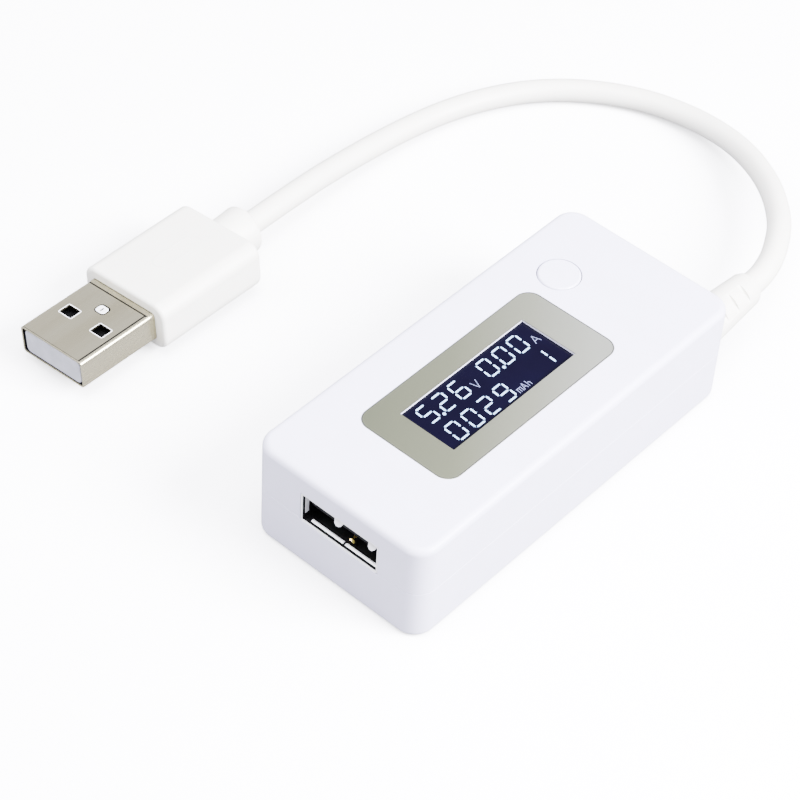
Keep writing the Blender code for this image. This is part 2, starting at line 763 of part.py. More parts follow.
def usb_plug():
    """Modelled with its mouth's middle at the origin, facing -Y, and then carried to its place by an empty."""
    known = set(PARTS.objects) | set(CUTTERS.objects)
    half_width = PLUG_WIDTH / 2
    half_height = PLUG_HEIGHT / 2
    shell_length = PLUG_REACH + PLUG_ANCHOR
    shell = block(
        "plug_shell",
        "nickel",
        (-half_width, 0, -half_height),
        (half_width, shell_length, half_height),
        corner=PLUG_CORNER,
        axis=1,
        segments=3,
    )
    hollow = block(
        "plug_hollow",
        None,
        (SHEET - half_width, -WALL, SHEET - half_height),
        (half_width - SHEET, shell_length + WALL, half_height - SHEET),
        corner=PLUG_CORNER - SHEET,
        axis=1,
        segments=2,
    )
    cut(shell, hollow)
    for side, name in ((-1, "left"), (1, "right")):
        middle = side * HOLE_FROM_MIDDLE
        hole = block(
            f"plug_hole_{name}",
            None,
            (middle - HOLE_WIDTH / 2, HOLE_FROM_FRONT - HOLE_LENGTH / 2, -PLUG_HEIGHT),
            (middle + HOLE_WIDTH / 2, HOLE_FROM_FRONT + HOLE_LENGTH / 2, PLUG_HEIGHT),
        )
        cut(shell, hole)

    bottom = SHEET + INSULATOR_GAP - half_height
    surface = bottom + INSULATOR_THICKNESS
    side = half_width - SHEET - SNUG
    insulator = block(
        "plug_insulator",
        "insulator",
        (-side, INSULATOR_SETBACK, bottom),
        (side, shell_length, surface),
    )
    cut(insulator, *contact_strips("plug", PLUG_CONTACT_START, surface, 1))

    grip = block(
        "plug_grip",
        "white_lead",
        (-GRIP_WIDTH / 2, PLUG_REACH, -GRIP_HEIGHT / 2),
        (GRIP_WIDTH / 2, PLUG_REACH + GRIP_LENGTH, GRIP_HEIGHT / 2),
        corner=GRIP_CORNER,
        axis=1,
    )
    edge = grip.modifiers.new("end_edges", "BEVEL")
    edge.width = GRIP_EDGE
    edge.segments = 2
    edge.limit_method = "ANGLE"
    edge.angle_limit = math.radians(60)
    neck_start = PLUG_REACH + GRIP_LENGTH - 2 * GRIP_EDGE
    neck_end = PLUG_REACH + GRIP_LENGTH + NECK_LENGTH
    neck = cylinder("plug_neck", None, NECK_RADIUS, (0, neck_start, 0), (0, neck_end, 0), segments=24)
    join(grip, neck)
    pocket = block(
        "grip_pocket",
        None,
        (-half_width - GAP, PLUG_REACH - WALL, -half_height - GAP),
        (half_width + GAP, PLUG_REACH + PLUG_ANCHOR + GAP, half_height + GAP),
        corner=PLUG_CORNER + GAP,
        axis=1,
        segments=3,
    )
    cut(grip, pocket)

    carrier = bpy.data.objects.new("plug_frame", None)
    PARTS.objects.link(carrier)
    carrier.location = PLUG_FRONT
    carrier.rotation_euler = (0, PLUG_ROLL, PLUG_YAW)
    for thing in (set(PARTS.objects) | set(CUTTERS.objects)) - known - {carrier}:
        thing.parent = carrier


def build():
    mouth = socket_opening()
    hole = cord_opening()
    upper_shell(mouth, hole)
    lower_shell(mouth, hole)
    label_plate()
    display_window()
    lcd_module()
    tact_switch(mode_button())
    usb_socket()
    circuit_board()
    strain_relief()
    wires()
    cord()
    usb_plug()


build()
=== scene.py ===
"""Looks of the USB power meter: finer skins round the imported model, their materials, the stage and the camera.

Sizes in this file are in millimetres until MM turns them into metres. +Z is up, the socket faces -Y, and the lead
leaves the +Y end. Every piece is built in place, so that its object stays at the origin.
"""

import math

import bmesh
import bpy
from mathutils import Euler, Matrix, Vector


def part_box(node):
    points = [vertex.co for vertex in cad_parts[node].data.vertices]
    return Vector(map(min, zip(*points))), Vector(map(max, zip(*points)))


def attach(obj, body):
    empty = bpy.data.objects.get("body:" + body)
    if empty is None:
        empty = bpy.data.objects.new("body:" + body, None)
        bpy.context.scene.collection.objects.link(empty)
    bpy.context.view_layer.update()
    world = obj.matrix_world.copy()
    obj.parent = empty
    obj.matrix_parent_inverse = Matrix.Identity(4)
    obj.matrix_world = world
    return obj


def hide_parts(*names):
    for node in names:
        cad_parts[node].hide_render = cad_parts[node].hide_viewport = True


MM = 0.001

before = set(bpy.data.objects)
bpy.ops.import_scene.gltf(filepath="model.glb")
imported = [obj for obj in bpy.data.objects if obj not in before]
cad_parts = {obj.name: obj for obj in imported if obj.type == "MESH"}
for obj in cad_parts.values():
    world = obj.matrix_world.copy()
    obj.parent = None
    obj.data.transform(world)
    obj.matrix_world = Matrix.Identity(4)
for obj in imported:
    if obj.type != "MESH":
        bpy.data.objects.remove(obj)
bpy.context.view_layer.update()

# Case
HALF_WIDTH = 14.1
HALF_LENGTH = 31.15
HEIGHT = 16.0
CORNER = 3.0
TOP_EDGE = 1.0
BOTTOM_EDGE = 0.9
PARTING = 8.1
PARTING_GAP = 0.015  # half of the gap between the two parts
PARTING_EDGE = 0.06  # the rounding beside it
WALL = 1.8
INNER_TOP = 14.2
LIP_INSET = 1.1
LIP_TOP = 9.2
LIP_GAP = 0.3
CORNER_STEPS = 14
CUT_TOP = 17.0  # above all that is cut out of the top
CUT_FLOOR = 13.0  # inside the hollow

# Label, window and button
LABEL_X, LABEL_Y = 0.4, -2.8
LABEL_HALF = (7.925, 16.9)
LABEL_CORNER = 2.2
WINDOW_X, WINDOW_Y = 0.42, -2.97
WINDOW_HALF = (4.49, 11.93)
WINDOW_CORNER = 0.06
WINDOW_GAP = 0.3
SCREEN_TOP = 15.6
LENS_FLOOR = 14.5
LENS_MARGIN = 0.2  # how far the lens reaches under the label
LENS_EDGE = 0.05
RECESS_FLOOR = 15.6
RECESS_GAP = 0.03
FOIL_LEVELS = ((0, 15.90), (0, 15.98), (0.03, 16.0))  # (inset, height)
BED_LEVELS = ((0, 15.62), (0, 15.88))
INK_INSETS = (0.04, 0.17)
INK_LOW, INK_HIGH = 15.98, 16.006
BUTTON_X, BUTTON_Y = -6.1, 19.0
BUTTON_RADIUS = 2.95
BUTTON_TOP = 16.15
BUTTON_EDGE = 0.3
BUTTON_GAP = 0.14  # round the cap, in its hole
BUTTON_RIM = 4.05  # radius of the rim that holds the cap under the top
BUTTON_RIM_LOW, BUTTON_RIM_HIGH = 13.1, 13.9

# Socket
MOUTH_X = 0.72
MOUTH_HALF = 6.52
MOUTH_LOW, MOUTH_HIGH = 7.73, 12.77
MOUTH_CORNER = 0.25
SOCKET_FRONT = -31.12
SOCKET_REAR = -17.0
SOCKET_HALF = 6.5
SOCKET_LOW, SOCKET_HIGH = 7.75, 12.75
SOCKET_CORNER = 0.45
SOCKET_EDGE = 0.08
SHEET = 0.3
RIM_DEPTH = 0.14
LIP_PATH = ((0.52, 0.05), (0.62, 0.09), (0.75, 0.16), (0.86, 0.13), (0.96, 0.05))  # behind the front, above the floor
LIP_SPANS = ((-5.05, 0.26), (0.62, SOCKET_HALF - SHEET))  # from the mouth's middle
LIP_SHEET = 0.1
SPRING_TABS = ((-0.45, 1.6, 1.35), (5.1, 1.5, 1.4))  # middle, width, drop
TAB_OUTLINE = ((-1, 0), (1, 0), (0.95, -0.45), (0.62, -0.85), (0.2, -1), (-0.3, -1), (-0.72, -0.85), (-0.98, -0.45))
TAB_FRONT = 0.1
TAB_LEAN = 0.55
TAB_SHEET = 0.15
TONGUE_HALF = 5.55
TONGUE_LOW, TONGUE_HIGH = 10.15, 11.95
BLOCK_HALF = 5.9
CONTACT_PLACES = (-3.5, -1.0, 1.0, 3.5)
CONTACT_HALF = 0.4
CONTACT_SHEET = 0.2
CONTACT_PATH = ((-28.6, 9.95), (-28.4, 9.7), (-28.0, 9.6), (-27.4, 9.65), (-26.4, 9.8), (-25.0, 9.97), (-21.5, 10.0))
GLINT_CONTACT = 2  # its place in CONTACT_PLACES; it is bent lower and further forward than the rest, and its tip carries the painted glint
GLINT_CONTACT_HALF = 0.2
GLINT_CONTACT_PATH = ((-29.9, 8.85), (-29.8, 8.7), (-29.5, 8.65), (-29.2, 8.75), (-28.0, 9.2), (-25.0, 9.95), (-21.5, 10.0))
GLINT_SPOT = ((1.78, -29.96, 8.5), (2.22, -29.7, 8.98))

# Lead and strain relief
RELIEF_X, RELIEF_Z = 8.7, 7.4
LEAD_HOLE = 2.6
SLEEVE_RADIUS = 3.3
SLEEVE_TAPER = 0.8
SLEEVE_START, SLEEVE_END = 31.35, 42.85
SLEEVE_RUN = 11.2
SLEEVE_NECK = 2.3
SLEEVE_FLANGE = (2.9, 28.05, 29.05)  # radius, front and rear
SLOT_PLACES = (3.2, 5.9, 8.6)
SLOT_DEPTH = 0.42
SLOT_HALF = 0.32
SLOT_REACH = 4.5
SLOT_EDGE = 0.15
SLOT_TURN = 38
CORD_DIAMETER = 3.5
CORD_ROUTE = (
    (-51.0, 6.0, 4.30),
    (-51.1, 10.0, 4.24),
    (-51.3, 15.0, 4.00),
    (-51.5, 21.5, 3.60),
    (-51.5, 28.0, 3.10),
    (-51.3, 34.5, 2.60),
    (-50.7, 41.0, 2.20),
    (-49.5, 47.3, 1.95),
    (-47.4, 53.3, 1.85),
    (-44.3, 59.0, 1.80),
    (-40.2, 63.8, 1.80),
    (-35.2, 67.7, 1.80),
    (-29.6, 70.4, 1.90),
    (-23.6, 71.6, 2.20),
    (-17.7, 71.4, 2.75),
    (-12.0, 69.9, 3.50),
    (-6.4, 67.0, 4.40),
    (-1.2, 62.9, 5.40),
    (3.5, 57.6, 6.30),
    (6.9, 51.5, 7.00),
    (8.4, 46.8, 7.35),
    (8.7, 43.15, 7.40),
)

# Plug, in its own frame: the mouth's middle is the origin and +Y runs back along the plug
PLUG_TURN = Euler((0, math.radians(-5.5), math.radians(-0.5)))
PLUG_PLACE = Matrix.Translation((-51.3, -30.8, 4.3)) @ PLUG_TURN.to_matrix().to_4x4()
PLUG_HALF = (6.0, 2.25)
PLUG_CORNER = 0.6
PLUG_LENGTH = 17.8
HOLE_HALF = (1.15, 0.95)
HOLE_X, HOLE_Y = 3.05, 6.3
HOLE_CORNER = 0.12
HOLE_RIM = ((0.12, -0.05), (0.12, 0.02), (0.02, 0.02), (0.0, -0.05))  # outwards, above the sheet
PLUG_EDGE = 0.06
TAB_SHADE_LINE = 0.012  # height of the painted shade line round the pressed tab
TAB_DOME = ((0.14, 0), (0.18, 0.045), (0.3, 0.06))  # inset, above the sheet
# Near-black strips of painted shade at the tab and the step, and of painted dark reflection along the +X and front
# edges
SHADE_LINE_BOXES = (  # two corners, with heights above the sheet, and the rounding
    ((-0.1, 8.98, 0.03), (0.14, 9.7, 0.068), 0.01),
    ((-5.6, 12.16, -0.05), (5.6, 12.4, 0.01), 0.004),
    ((-5.7, 13.1, -0.05), (5.7, 13.2, 0.036), 0.003),
    ((5.2, 0.12, -0.05), (5.45, 12.3, 0.008), 0.003),
    ((-5.5, 0.1, -0.05), (5.35, 0.17, 0.008), 0.003),
)
STEP_BAND = ((0.05, 12.68), (-0.03, 12.75), (-0.03, 13.4), (0.05, 13.4))  # inset, along the plug
NOSE_FRONT, NOSE_REAR = 0.15, 1.3  # of the insulator, behind the mouth's edge
NOSE_HALF = 5.36
NOSE_TOP = 1.8
NOSE_CORNER = 0.75
NOSE_EDGE = 0.12
CORE_LOW = SHEET + 0.05 - PLUG_HALF[1]
CORE_HALF = 5.5
CORE_THICK = 1.9
BAR_HALF = 0.5
BAR_FRONT, BAR_REAR = 1.4, 4.3
GRIP_HALF = (7.75, 3.7)
GRIP_FRONT, GRIP_REAR = 13.3, 32.0
GRIP_CORNER = 2.0
GRIP_FRONT_EDGE, GRIP_REAR_EDGE = 0.5, 0.8
POCKET_HALF = (6.03, 2.28)
POCKET_FRONT, POCKET_REAR = 12, 18
NECK_PROFILE = ((0, 31.2), (3.35, 31.2), (3.4, 32.0), (3.5, 34.0), (3.6, 35.6))  # radius, along the plug
NECK_EDGE = 0.5
NECK_REAR = 36.4
RIDGE_Y = 23.6
RIDGE_HALF = (1.5, 4.2)
RIDGE_INSET = 0.35
RIDGE_LOW = 3.6
RIDGE_RISE = 0.02

# Camera
CAMERA_PLACE = (145.174, -198.270, 259.813)
CAMERA_AZIMUTH = 39.171
CAMERA_ELEVATION = 45.595
CAMERA_ROLL = 3.804
CAMERA_LENS = 121.875
CAMERA_SENSOR = 36.0


# ---------------------------------------------------------------- camera


def add_camera():
    azimuth, elevation, roll = (math.radians(a) for a in (CAMERA_AZIMUTH, CAMERA_ELEVATION, CAMERA_ROLL))
    back = Vector(
        (math.sin(azimuth) * math.cos(elevation), -math.cos(azimuth) * math.cos(elevation), math.sin(elevation))
    )
    right = (-back).cross(Vector((0, 0, 1))).normalized()
    up = right.cross(-back)
    turned_right = math.cos(roll) * right + math.sin(roll) * up
    turned_up = math.cos(roll) * up - math.sin(roll) * right
    data = bpy.data.cameras.new("camera")
    data.lens = CAMERA_LENS
    data.sensor_width = CAMERA_SENSOR
    data.clip_start, data.clip_end = 0.01, 5
    camera = bpy.data.objects.new("camera", data)
    bpy.context.scene.collection.objects.link(camera)
    turn = Matrix((turned_right, turned_up, back)).transposed().to_4x4()
    camera.matrix_world = Matrix.Translation(Vector(CAMERA_PLACE) * MM) @ turn
    bpy.context.scene.camera = camera


add_camera()


# ---------------------------------------------------------------- materials

UNDER_SKIN_DEPTH = 0.6
UNDER_SKIN_SHARES = (1.0, 0.9, 0.8)  # of that depth, for red, green and blue
FOIL_SKEW = 0.35  # how far the label's painted reflection runs across instead of along
FOIL_SPECKLE = 0.08


def linear(code):
    """An sRGB hex code as a linear RGBA colour."""
    shares = [int(code[i : i + 2], 16) / 255 for i in (0, 2, 4)]
    return (*(s / 12.92 if s <= 0.04045 else ((s + 0.055) / 1.055) ** 2.4 for s in shares), 1.0)


def add(tree, kind, settings=None, **inputs):
    """Adds a node. Each input is a value or another node's output socket."""
    made = tree.nodes.new("ShaderNode" + kind)
    for name, value in (settings or {}).items():
        setattr(made, name, value)
    for name, value in inputs.items():
        socket = made.inputs[name.replace("_", " ")]
        if isinstance(value, bpy.types.NodeSocket):
            tree.links.new(value, socket)
        else:
            socket.default_value = value
    return made


def ramp(tree, share, stops):
    """A colour ramp over share, from (position, hex code) stops."""
    made = add(tree, "ValToRGB", Fac=share)
    elements = made.color_ramp.elements
    while len(elements) < len(stops):
        elements.new(0.5)
    for element, (position, code) in zip(elements, stops):
        element.position = position
        element.color = linear(code)
    return made.outputs["Color"]


def grain(tree, size, detail, stretch=(1, 1, 1)):
    """Noise whose blotches are about size millimetres wide, drawn out along the axes with a small stretch."""
    place = add(tree, "TexCoord").outputs["Object"]
    drawn = add(tree, "Mapping", Vector=place, Scale=stretch)
    noise = add(tree, "TexNoise", Vector=drawn.outputs["Vector"], Scale=1 / (size * MM), Detail=detail)
    return noise.outputs["Fac"]


def between(tree, share, low, high):
    """share, 0 to 1, spread from low to high."""
    return add(tree, "MapRange", Value=share, To_Min=low, To_Max=high).outputs["Result"]


def blank(name):
    """A new material, its node tree and its shader."""
    made = bpy.data.materials.new(name)
    made.use_nodes = True
    return made, made.node_tree, made.node_tree.nodes["Principled BSDF"]


def surface(
    name, stops, rough, *, metal=0.0, patch=4.0, fine=0.25, bump=0.004, stretch=(1, 1, 1), gloss=0.5, soft=0.0
):
    """A material whose colour wanders between stops in patches, and whose roughness and relief follow a fine grain.
    patch and fine are sizes, and bump is the relief's depth, in millimetres. gloss is the level of the mirror-like
    part, and soft is how much light goes under the skin."""
    made, tree, shader = blank(name)
    texture = grain(tree, fine, 4.0, stretch)
    colour = ramp(tree, grain(tree, patch, 2.0, stretch), stops)
    relief = add(tree, "Bump", Height=texture, Distance=bump * MM, Strength=1.0)
    tree.links.new(colour, shader.inputs["Base Color"])
    tree.links.new(between(tree, texture, *rough), shader.inputs["Roughness"])
    tree.links.new(relief.outputs["Normal"], shader.inputs["Normal"])
    shader.inputs["Metallic"].default_value = metal
    shader.inputs["Specular IOR Level"].default_value = gloss
    if soft:
        shader.inputs["Subsurface Weight"].default_value = soft
        shader.inputs["Subsurface Radius"].default_value = UNDER_SKIN_SHARES
        shader.inputs["Subsurface Scale"].default_value = UNDER_SKIN_DEPTH * MM
    return made


# Injection-moulded ABS with a fine satin texture
ABS_WHITE = surface("abs_satin_white", ((0.3, "C0BFD2"), (0.7, "C3C2D6")), (0.30, 0.42), fine=0.18, bump=0.0015)
# The same plastic polished where a finger presses it
BUTTON_WHITE = surface("abs_polished_white", ((0.3, "C2C2D4"), (0.7, "C6C5D8")), (0.22, 0.30), fine=0.3, bump=0.0006)
# Soft PVC of the lead and its mouldings
PVC_WHITE = surface(
    "pvc_soft_white", ((0.3, "D0CEC7"), (0.7, "D3D2CA")), (0.38, 0.52),
    patch=6, fine=0.35, bump=0.003, soft=0.15,
)
# Bright nickel plate on drawn steel, brushed along the plug
NICKEL = surface(
    "nickel_plate_brushed", ((0.25, "A29C80"), (0.75, "AEA990")), (0.20, 0.32),
    metal=1.0, patch=2.5, fine=0.12, bump=0.0006, stretch=(1.0, 0.06, 1.0),
)
# Near-black strips on the plug's sheet: painted shade at its step and round its pressed tab, and painted dark
# reflection along its rounded edges
SHADE_LINE_BLACK = surface(
    "plug_painted_shade_lines", ((0.3, "060605"), (0.7, "0D0D0C")), (0.55, 0.70),
    patch=0.8, fine=0.1, bump=0.001, gloss=0.05,
)
# Bright tin plate of the crystal's can
TIN = surface(
    "tin_plate_bright", ((0.3, "C0BFBC"), (0.7, "CECDCA")), (0.16, 0.26),
    metal=1.0, patch=1.5, fine=0.2, bump=0.0008,
)
# Tin plate inside the socket, painted near-black as the shade inside it
TIN_PAINTED_SHADE = surface(
    "tin_plate_painted_shade", ((0.3, "0D0D0D"), (0.7, "151516")), (0.45, 0.60),
    metal=0.6, patch=1.5, fine=0.2, bump=0.001, gloss=0.1,
)
# Frosted tin plate of the rims, the lips and the tabs, near-white and mostly diffuse: a painted highlight where they
# catch the light
TIN_PAINTED_HIGHLIGHT = surface(
    "tin_plate_painted_highlight", ((0.3, "D5D5D7"), (0.7, "DADADC")), (0.35, 0.50),
    metal=0.15, patch=0.8, fine=0.1, bump=0.001,
)
# Glass-filled black nylon of the socket's tongue, the switch and the chips
NYLON_BLACK = surface(
    "nylon_black", ((0.3, "050505"), (0.7, "09090B")), (0.45, 0.60),
    patch=1.0, fine=0.1, bump=0.003, gloss=0.08,
)
# Lavender-white LCP insulator of the plug, darkened to grey with painted shade of its recess
LCP_SHADED = surface(
    "lcp_pale_painted_shade", ((0.3, "93959C"), (0.7, "A2A3AB")), (0.40, 0.52),
    patch=2.0, fine=0.2, bump=0.002, soft=0.1,
)
# Gold flash on the contacts
GOLD = surface(
    "gold_flash", ((0.3, "BC9E52"), (0.7, "CCB269")), (0.20, 0.30),
    metal=1.0, patch=0.8, fine=0.15, bump=0.0006,
)
# A matt gold spot on the forward contact's tip: a painted glint where the tip catches the light
GOLD_PAINTED_GLINT = surface(
    "gold_matt_painted_glint", ((0.3, "7C7230"), (0.7, "948842")), (0.35, 0.50),
    metal=0.4, patch=0.3, fine=0.08, bump=0.001,
)
# Dark polarised lens over the display
LENS = surface(
    "lens_dark_blue", ((0.3, "02010A"), (0.7, "03020E")), (0.20, 0.28),
    patch=6.0, fine=0.5, bump=0.0002, gloss=0.05,
)
# Printed grey line round the label
LABEL_INK = surface(
    "label_grey_ink", ((0.3, "23241F"), (0.7, "2C2D28")), (0.45, 0.60),
    patch=1.0, fine=0.1, bump=0.001,
)
# Green solder mask with a faint weave
SOLDER_MASK = surface(
    "solder_mask_green", ((0.3, "0C4E24"), (0.7, "135D2D")), (0.30, 0.45),
    patch=1.2, fine=0.4, bump=0.004,
)
# Conductive rubber of the display's strip
RUBBER_GREY = surface(
    "rubber_grey", ((0.3, "242427"), (0.7, "303034")), (0.70, 0.85),
    patch=0.8, fine=0.2, bump=0.006,
)
# Ceramic of the capacitor
CERAMIC_TAN = surface(
    "ceramic_tan", ((0.3, "947B56"), (0.7, "A68C6A")), (0.40, 0.55),
    patch=0.8, fine=0.15, bump=0.002,
)
# Glass of the display cell
CELL_GLASS = surface(
    "cell_glass_dark", ((0.3, "151429"), (0.7, "1D1B37")), (0.05, 0.10),
    patch=5.0, fine=0.5, bump=0.0002,
)
# PVC of the four cores
CORE_RED = surface("pvc_red", ((0.3, "931215"), (0.7, "A51E22")), (0.35, 0.50), patch=2.0, fine=0.2, bump=0.002)
CORE_BLACK = surface("pvc_black", ((0.3, "0D0D0F"), (0.7, "17171A")), (0.35, 0.50), patch=2.0, fine=0.2, bump=0.002)
CORE_GREEN = surface("pvc_green", ((0.3, "176B2B"), (0.7, "217B36")), (0.35, 0.50), patch=2.0, fine=0.2, bump=0.002)
CORE_WHITE = surface(
    "pvc_core_white", ((0.3, "C9C8C4"), (0.7, "D2D1CD")), (0.35, 0.50),
    patch=2.0, fine=0.2, bump=0.002,
)


def label_foil():
    """Satin silver foil, greenish grey, with a painted reflection that runs it from a darker grey at the socket's end
    to a paler one at the far end.
    """
    made, tree, shader = blank("label_foil_painted_reflection")
    place = add(tree, "TexCoord").outputs["Object"]
    parts = add(tree, "SeparateXYZ", Vector=place)
    share = add(tree, "Mix", {"data_type": "FLOAT"}, Factor=FOIL_SKEW)
    for number, (axis, middle, half) in enumerate((("Y", LABEL_Y, LABEL_HALF[1]), ("X", LABEL_X, LABEL_HALF[0]))):
        run = add(
            tree,
            "MapRange",
            Value=parts.outputs[axis],
            From_Min=(middle - half) * MM,
            From_Max=(middle + half) * MM,
        )
        tree.links.new(run.outputs["Result"], share.inputs[2 + number])
    speckle = grain(tree, 0.12, 2.0)
    wander = add(tree, "Math", {"operation": "MULTIPLY_ADD"})
    tree.links.new(speckle, wander.inputs[0])
    wander.inputs[1].default_value = FOIL_SPECKLE
    tree.links.new(share.outputs[0], wander.inputs[2])
    # Painted reflection: the foil is darker at the socket's end and paler at the far end
    colour = ramp(tree, wander.outputs[0], ((0.0, "7B7F68"), (0.4, "8F9279"), (0.7, "AEB09B"), (0.95, "CACCBD")))
    relief = add(tree, "Bump", Height=speckle, Distance=0.0015 * MM, Strength=1.0)
    tree.links.new(colour, shader.inputs["Base Color"])
    tree.links.new(between(tree, speckle, 0.26, 0.34), shader.inputs["Roughness"])
    tree.links.new(relief.outputs["Normal"], shader.inputs["Normal"])
    shader.inputs["Metallic"].default_value = 1.0
    return made


def lit_segment(name, codes, strength):
    """Backlit liquid crystal: a pale glow that is a little uneven across a segment."""
    made, tree, shader = blank(name)
    share = grain(tree, 0.6, 2.0)
    colour = ramp(tree, share, ((0.3, codes[0]), (0.7, codes[1])))
    tree.links.new(colour, shader.inputs["Base Color"])
    tree.links.new(colour, shader.inputs["Emission Color"])
    tree.links.new(between(tree, share, 0.85 * strength, 1.1 * strength), shader.inputs["Emission Strength"])
    shader.inputs["Roughness"].default_value = 0.3
    return made


FOIL_PAINTED_REFLECTION = label_foil()
SEGMENT = lit_segment("lcd_segment_lit", ("728CAC", "8EA8C2"), 0.30)
SEGMENT_DIM = lit_segment("lcd_unit_lit", ("464B66", "5B607C"), 0.08)

CAD_LOOKS = {
    "lcd_glass": CELL_GLASS,
    "lcd_frame": ABS_WHITE,
    "lcd_backlight": LCP_SHADED,
    "lcd_connector_strip": RUBBER_GREY,
    "switch_body": NYLON_BLACK,
    "switch_plunger": NYLON_BLACK,
    "circuit_board": SOLDER_MASK,
    "microcontroller": NYLON_BLACK,
    "memory_chip": NYLON_BLACK,
    "voltage_regulator": NYLON_BLACK,
    "shunt_resistor": NYLON_BLACK,
    "clock_crystal": TIN,
    "filter_capacitor": CERAMIC_TAN,
    "wire_ground": CORE_BLACK,
    "wire_data_plus": CORE_GREEN,
    "wire_data_minus": CORE_WHITE,
    "wire_power": CORE_RED,
}


# ---------------------------------------------------------------- shapes

SHARP_ANGLE = 35  # degrees between two faces from which the edge between them stays sharp


def rounded(x, y, half, corner, steps=10):
    """Points of a rounded rectangle about (x, y), anticlockwise."""
    points = []
    for number, (side_x, side_y) in enumerate(((1, 1), (-1, 1), (-1, -1), (1, -1))):
        centre_x = x + side_x * (half[0] - corner)
        centre_y = y + side_y * (half[1] - corner)
        for step in range(steps + 1):
            angle = math.pi / 2 * (number + step / steps)
            points.append((centre_x + corner * math.cos(angle), centre_y + corner * math.sin(angle)))
    return points


def circle(x, y, radius, steps=64):
    return [
        (x + radius * math.cos(2 * math.pi * step / steps), y + radius * math.sin(2 * math.pi * step / steps))
        for step in range(steps)
    ]


def quarter(centre, radius, start, steps=6, turn=-90):
    """Points of a quarter circle about centre, from the angle start on, in degrees: clockwise, or the other way if
    turn is 90."""
    points = []
    for step in range(steps + 1):
        angle = math.radians(start + turn * step / steps)
        points.append((centre[0] + radius * math.cos(angle), centre[1] + radius * math.sin(angle)))
    return points


def inward(half, inset):
    """Half sizes made smaller by inset."""
    return half[0] - inset, half[1] - inset


def level(outline, z):
    """An outline of (x, y) points, at height z."""
    return [(a, b, z) for a, b in outline]


def upright(outline, y):
    """An outline of (x, z) points, at y."""
    return [(a, y, b) for a, b in outline]


def skin(rings, closed=False):
    """A solid from rings of 3-D points, each with as many points as the next. Open ends are capped."""
    shape = bmesh.new()
    rows = [[shape.verts.new(point) for point in ring] for ring in rings]
    pairs = list(zip(rows, rows[1:] + rows[:1])) if closed else list(zip(rows, rows[1:]))
    for low, high in pairs:
        for index in range(len(low)):
            after = (index + 1) % len(low)
            shape.faces.new((low[index], low[after], high[after], high[index]))
    if not closed:
        shape.faces.new(rows[0][::-1])
        shape.faces.new(rows[-1])
    bmesh.ops.recalc_face_normals(shape, faces=shape.faces)
    return shape


def layered(profile, x, y, half, corner, least=0.4, steps=10):
    """A solid whose outline is a rounded rectangle moved in by each (inset, height) of profile."""
    return skin(
        [
            level(rounded(x, y, inward(half, inset), max(corner - inset, least), steps), height)
            for inset, height in profile
        ]
    )


def prism(outline, low, high):
    """A solid with this outline from low to high."""
    return skin([level(outline, low), level(outline, high)])


def soften(shape, edges, radius, steps):
    """Rounds these edges of a shape."""
    bmesh.ops.bevel(shape, geom=edges, offset=radius, segments=steps, profile=0.5, affect="EDGES", material=-1)


def box(low, high, edge, steps):
    """A box from low to high with all its edges rounded by edge."""
    low, high = Vector(low), Vector(high)
    shape = bmesh.new()
    bmesh.ops.create_cube(shape, size=1)
    bmesh.ops.scale(shape, vec=high - low, verts=shape.verts)
    bmesh.ops.translate(shape, vec=(low + high) / 2, verts=shape.verts)
    soften(shape, shape.edges, edge, steps)
    return shape


def spun(profile, steps=64):
    """A solid of revolution about Z from (radius, height) points. The first and the last lie on the axis."""
    return skin([level(circle(0, 0, radius, steps), height) for radius, height in profile[1:-1]])


def sheet(path, thickness, low, high):
    """A strip bent along path, given as (y, z) points, and as wide in X as low to high."""
    lines = []
    for index, (y, z) in enumerate(path):
        before = Vector(path[max(index - 1, 0)])
        after = Vector(path[min(index + 1, len(path) - 1)])
        run = (after - before).normalized()
        side = Vector((-run.y, run.x)) * thickness / 2
        lines.append(((y + side.x, z + side.y), (y - side.x, z - side.y)))
    rings = [[(low, *a), (high, *a), (high, *b), (low, *b)] for a, b in lines]
    return skin(rings)


def moved(shape, matrix):
    bmesh.ops.transform(shape, matrix=matrix, verts=shape.verts)
    return shape


def merged(*shapes):
    """Several shapes as the separate parts of one piece."""
    whole = bmesh.new()
    for shape in shapes:
        data = bpy.data.meshes.new("part")
        shape.to_mesh(data)
        shape.free()
        whole.from_mesh(data)
        bpy.data.meshes.remove(data)
    return whole


def to_mesh(shape, name):
    bmesh.ops.scale(shape, vec=(MM, MM, MM), verts=shape.verts)
    data = bpy.data.meshes.new(name)
    shape.to_mesh(data)
    shape.free()
    return data


def piece(name, shape, look, body="case", cuts=(), replaces=()):
    """A finished piece on its body: the shape less its cuts, smooth but for its sharp edges."""
    made = bpy.data.objects.new(name, to_mesh(shape, name))
    bpy.context.scene.collection.objects.link(made)
    helpers = []
    for number, cutter in enumerate(cuts):
        helper = bpy.data.objects.new(f"{name}_cut_{number}", to_mesh(cutter, "cut"))
        bpy.context.scene.collection.objects.link(helper)
        helpers.append(helper)
        step = made.modifiers.new("cut", "BOOLEAN")
        step.operation = "DIFFERENCE"
        step.object = helper
    if cuts:
        graph = bpy.context.evaluated_depsgraph_get()
        solid = bpy.data.meshes.new_from_object(made.evaluated_get(graph))
        made.modifiers.clear()
        made.data = solid
        for helper in helpers:
            bpy.data.objects.remove(helper, do_unlink=True)
    made.data.name = name
    made.data.materials.clear()
    made.data.materials.append(look)
    made.data.shade_smooth()
    made.data.set_sharp_from_angle(angle=math.radians(SHARP_ANGLE))
    flat = made.modifiers.new("flat_faces", "WEIGHTED_NORMAL")
    flat.keep_sharp = True
    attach(made, body)
    if replaces:
        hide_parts(*replaces)
    return made


# ---------------------------------------------------------------- case


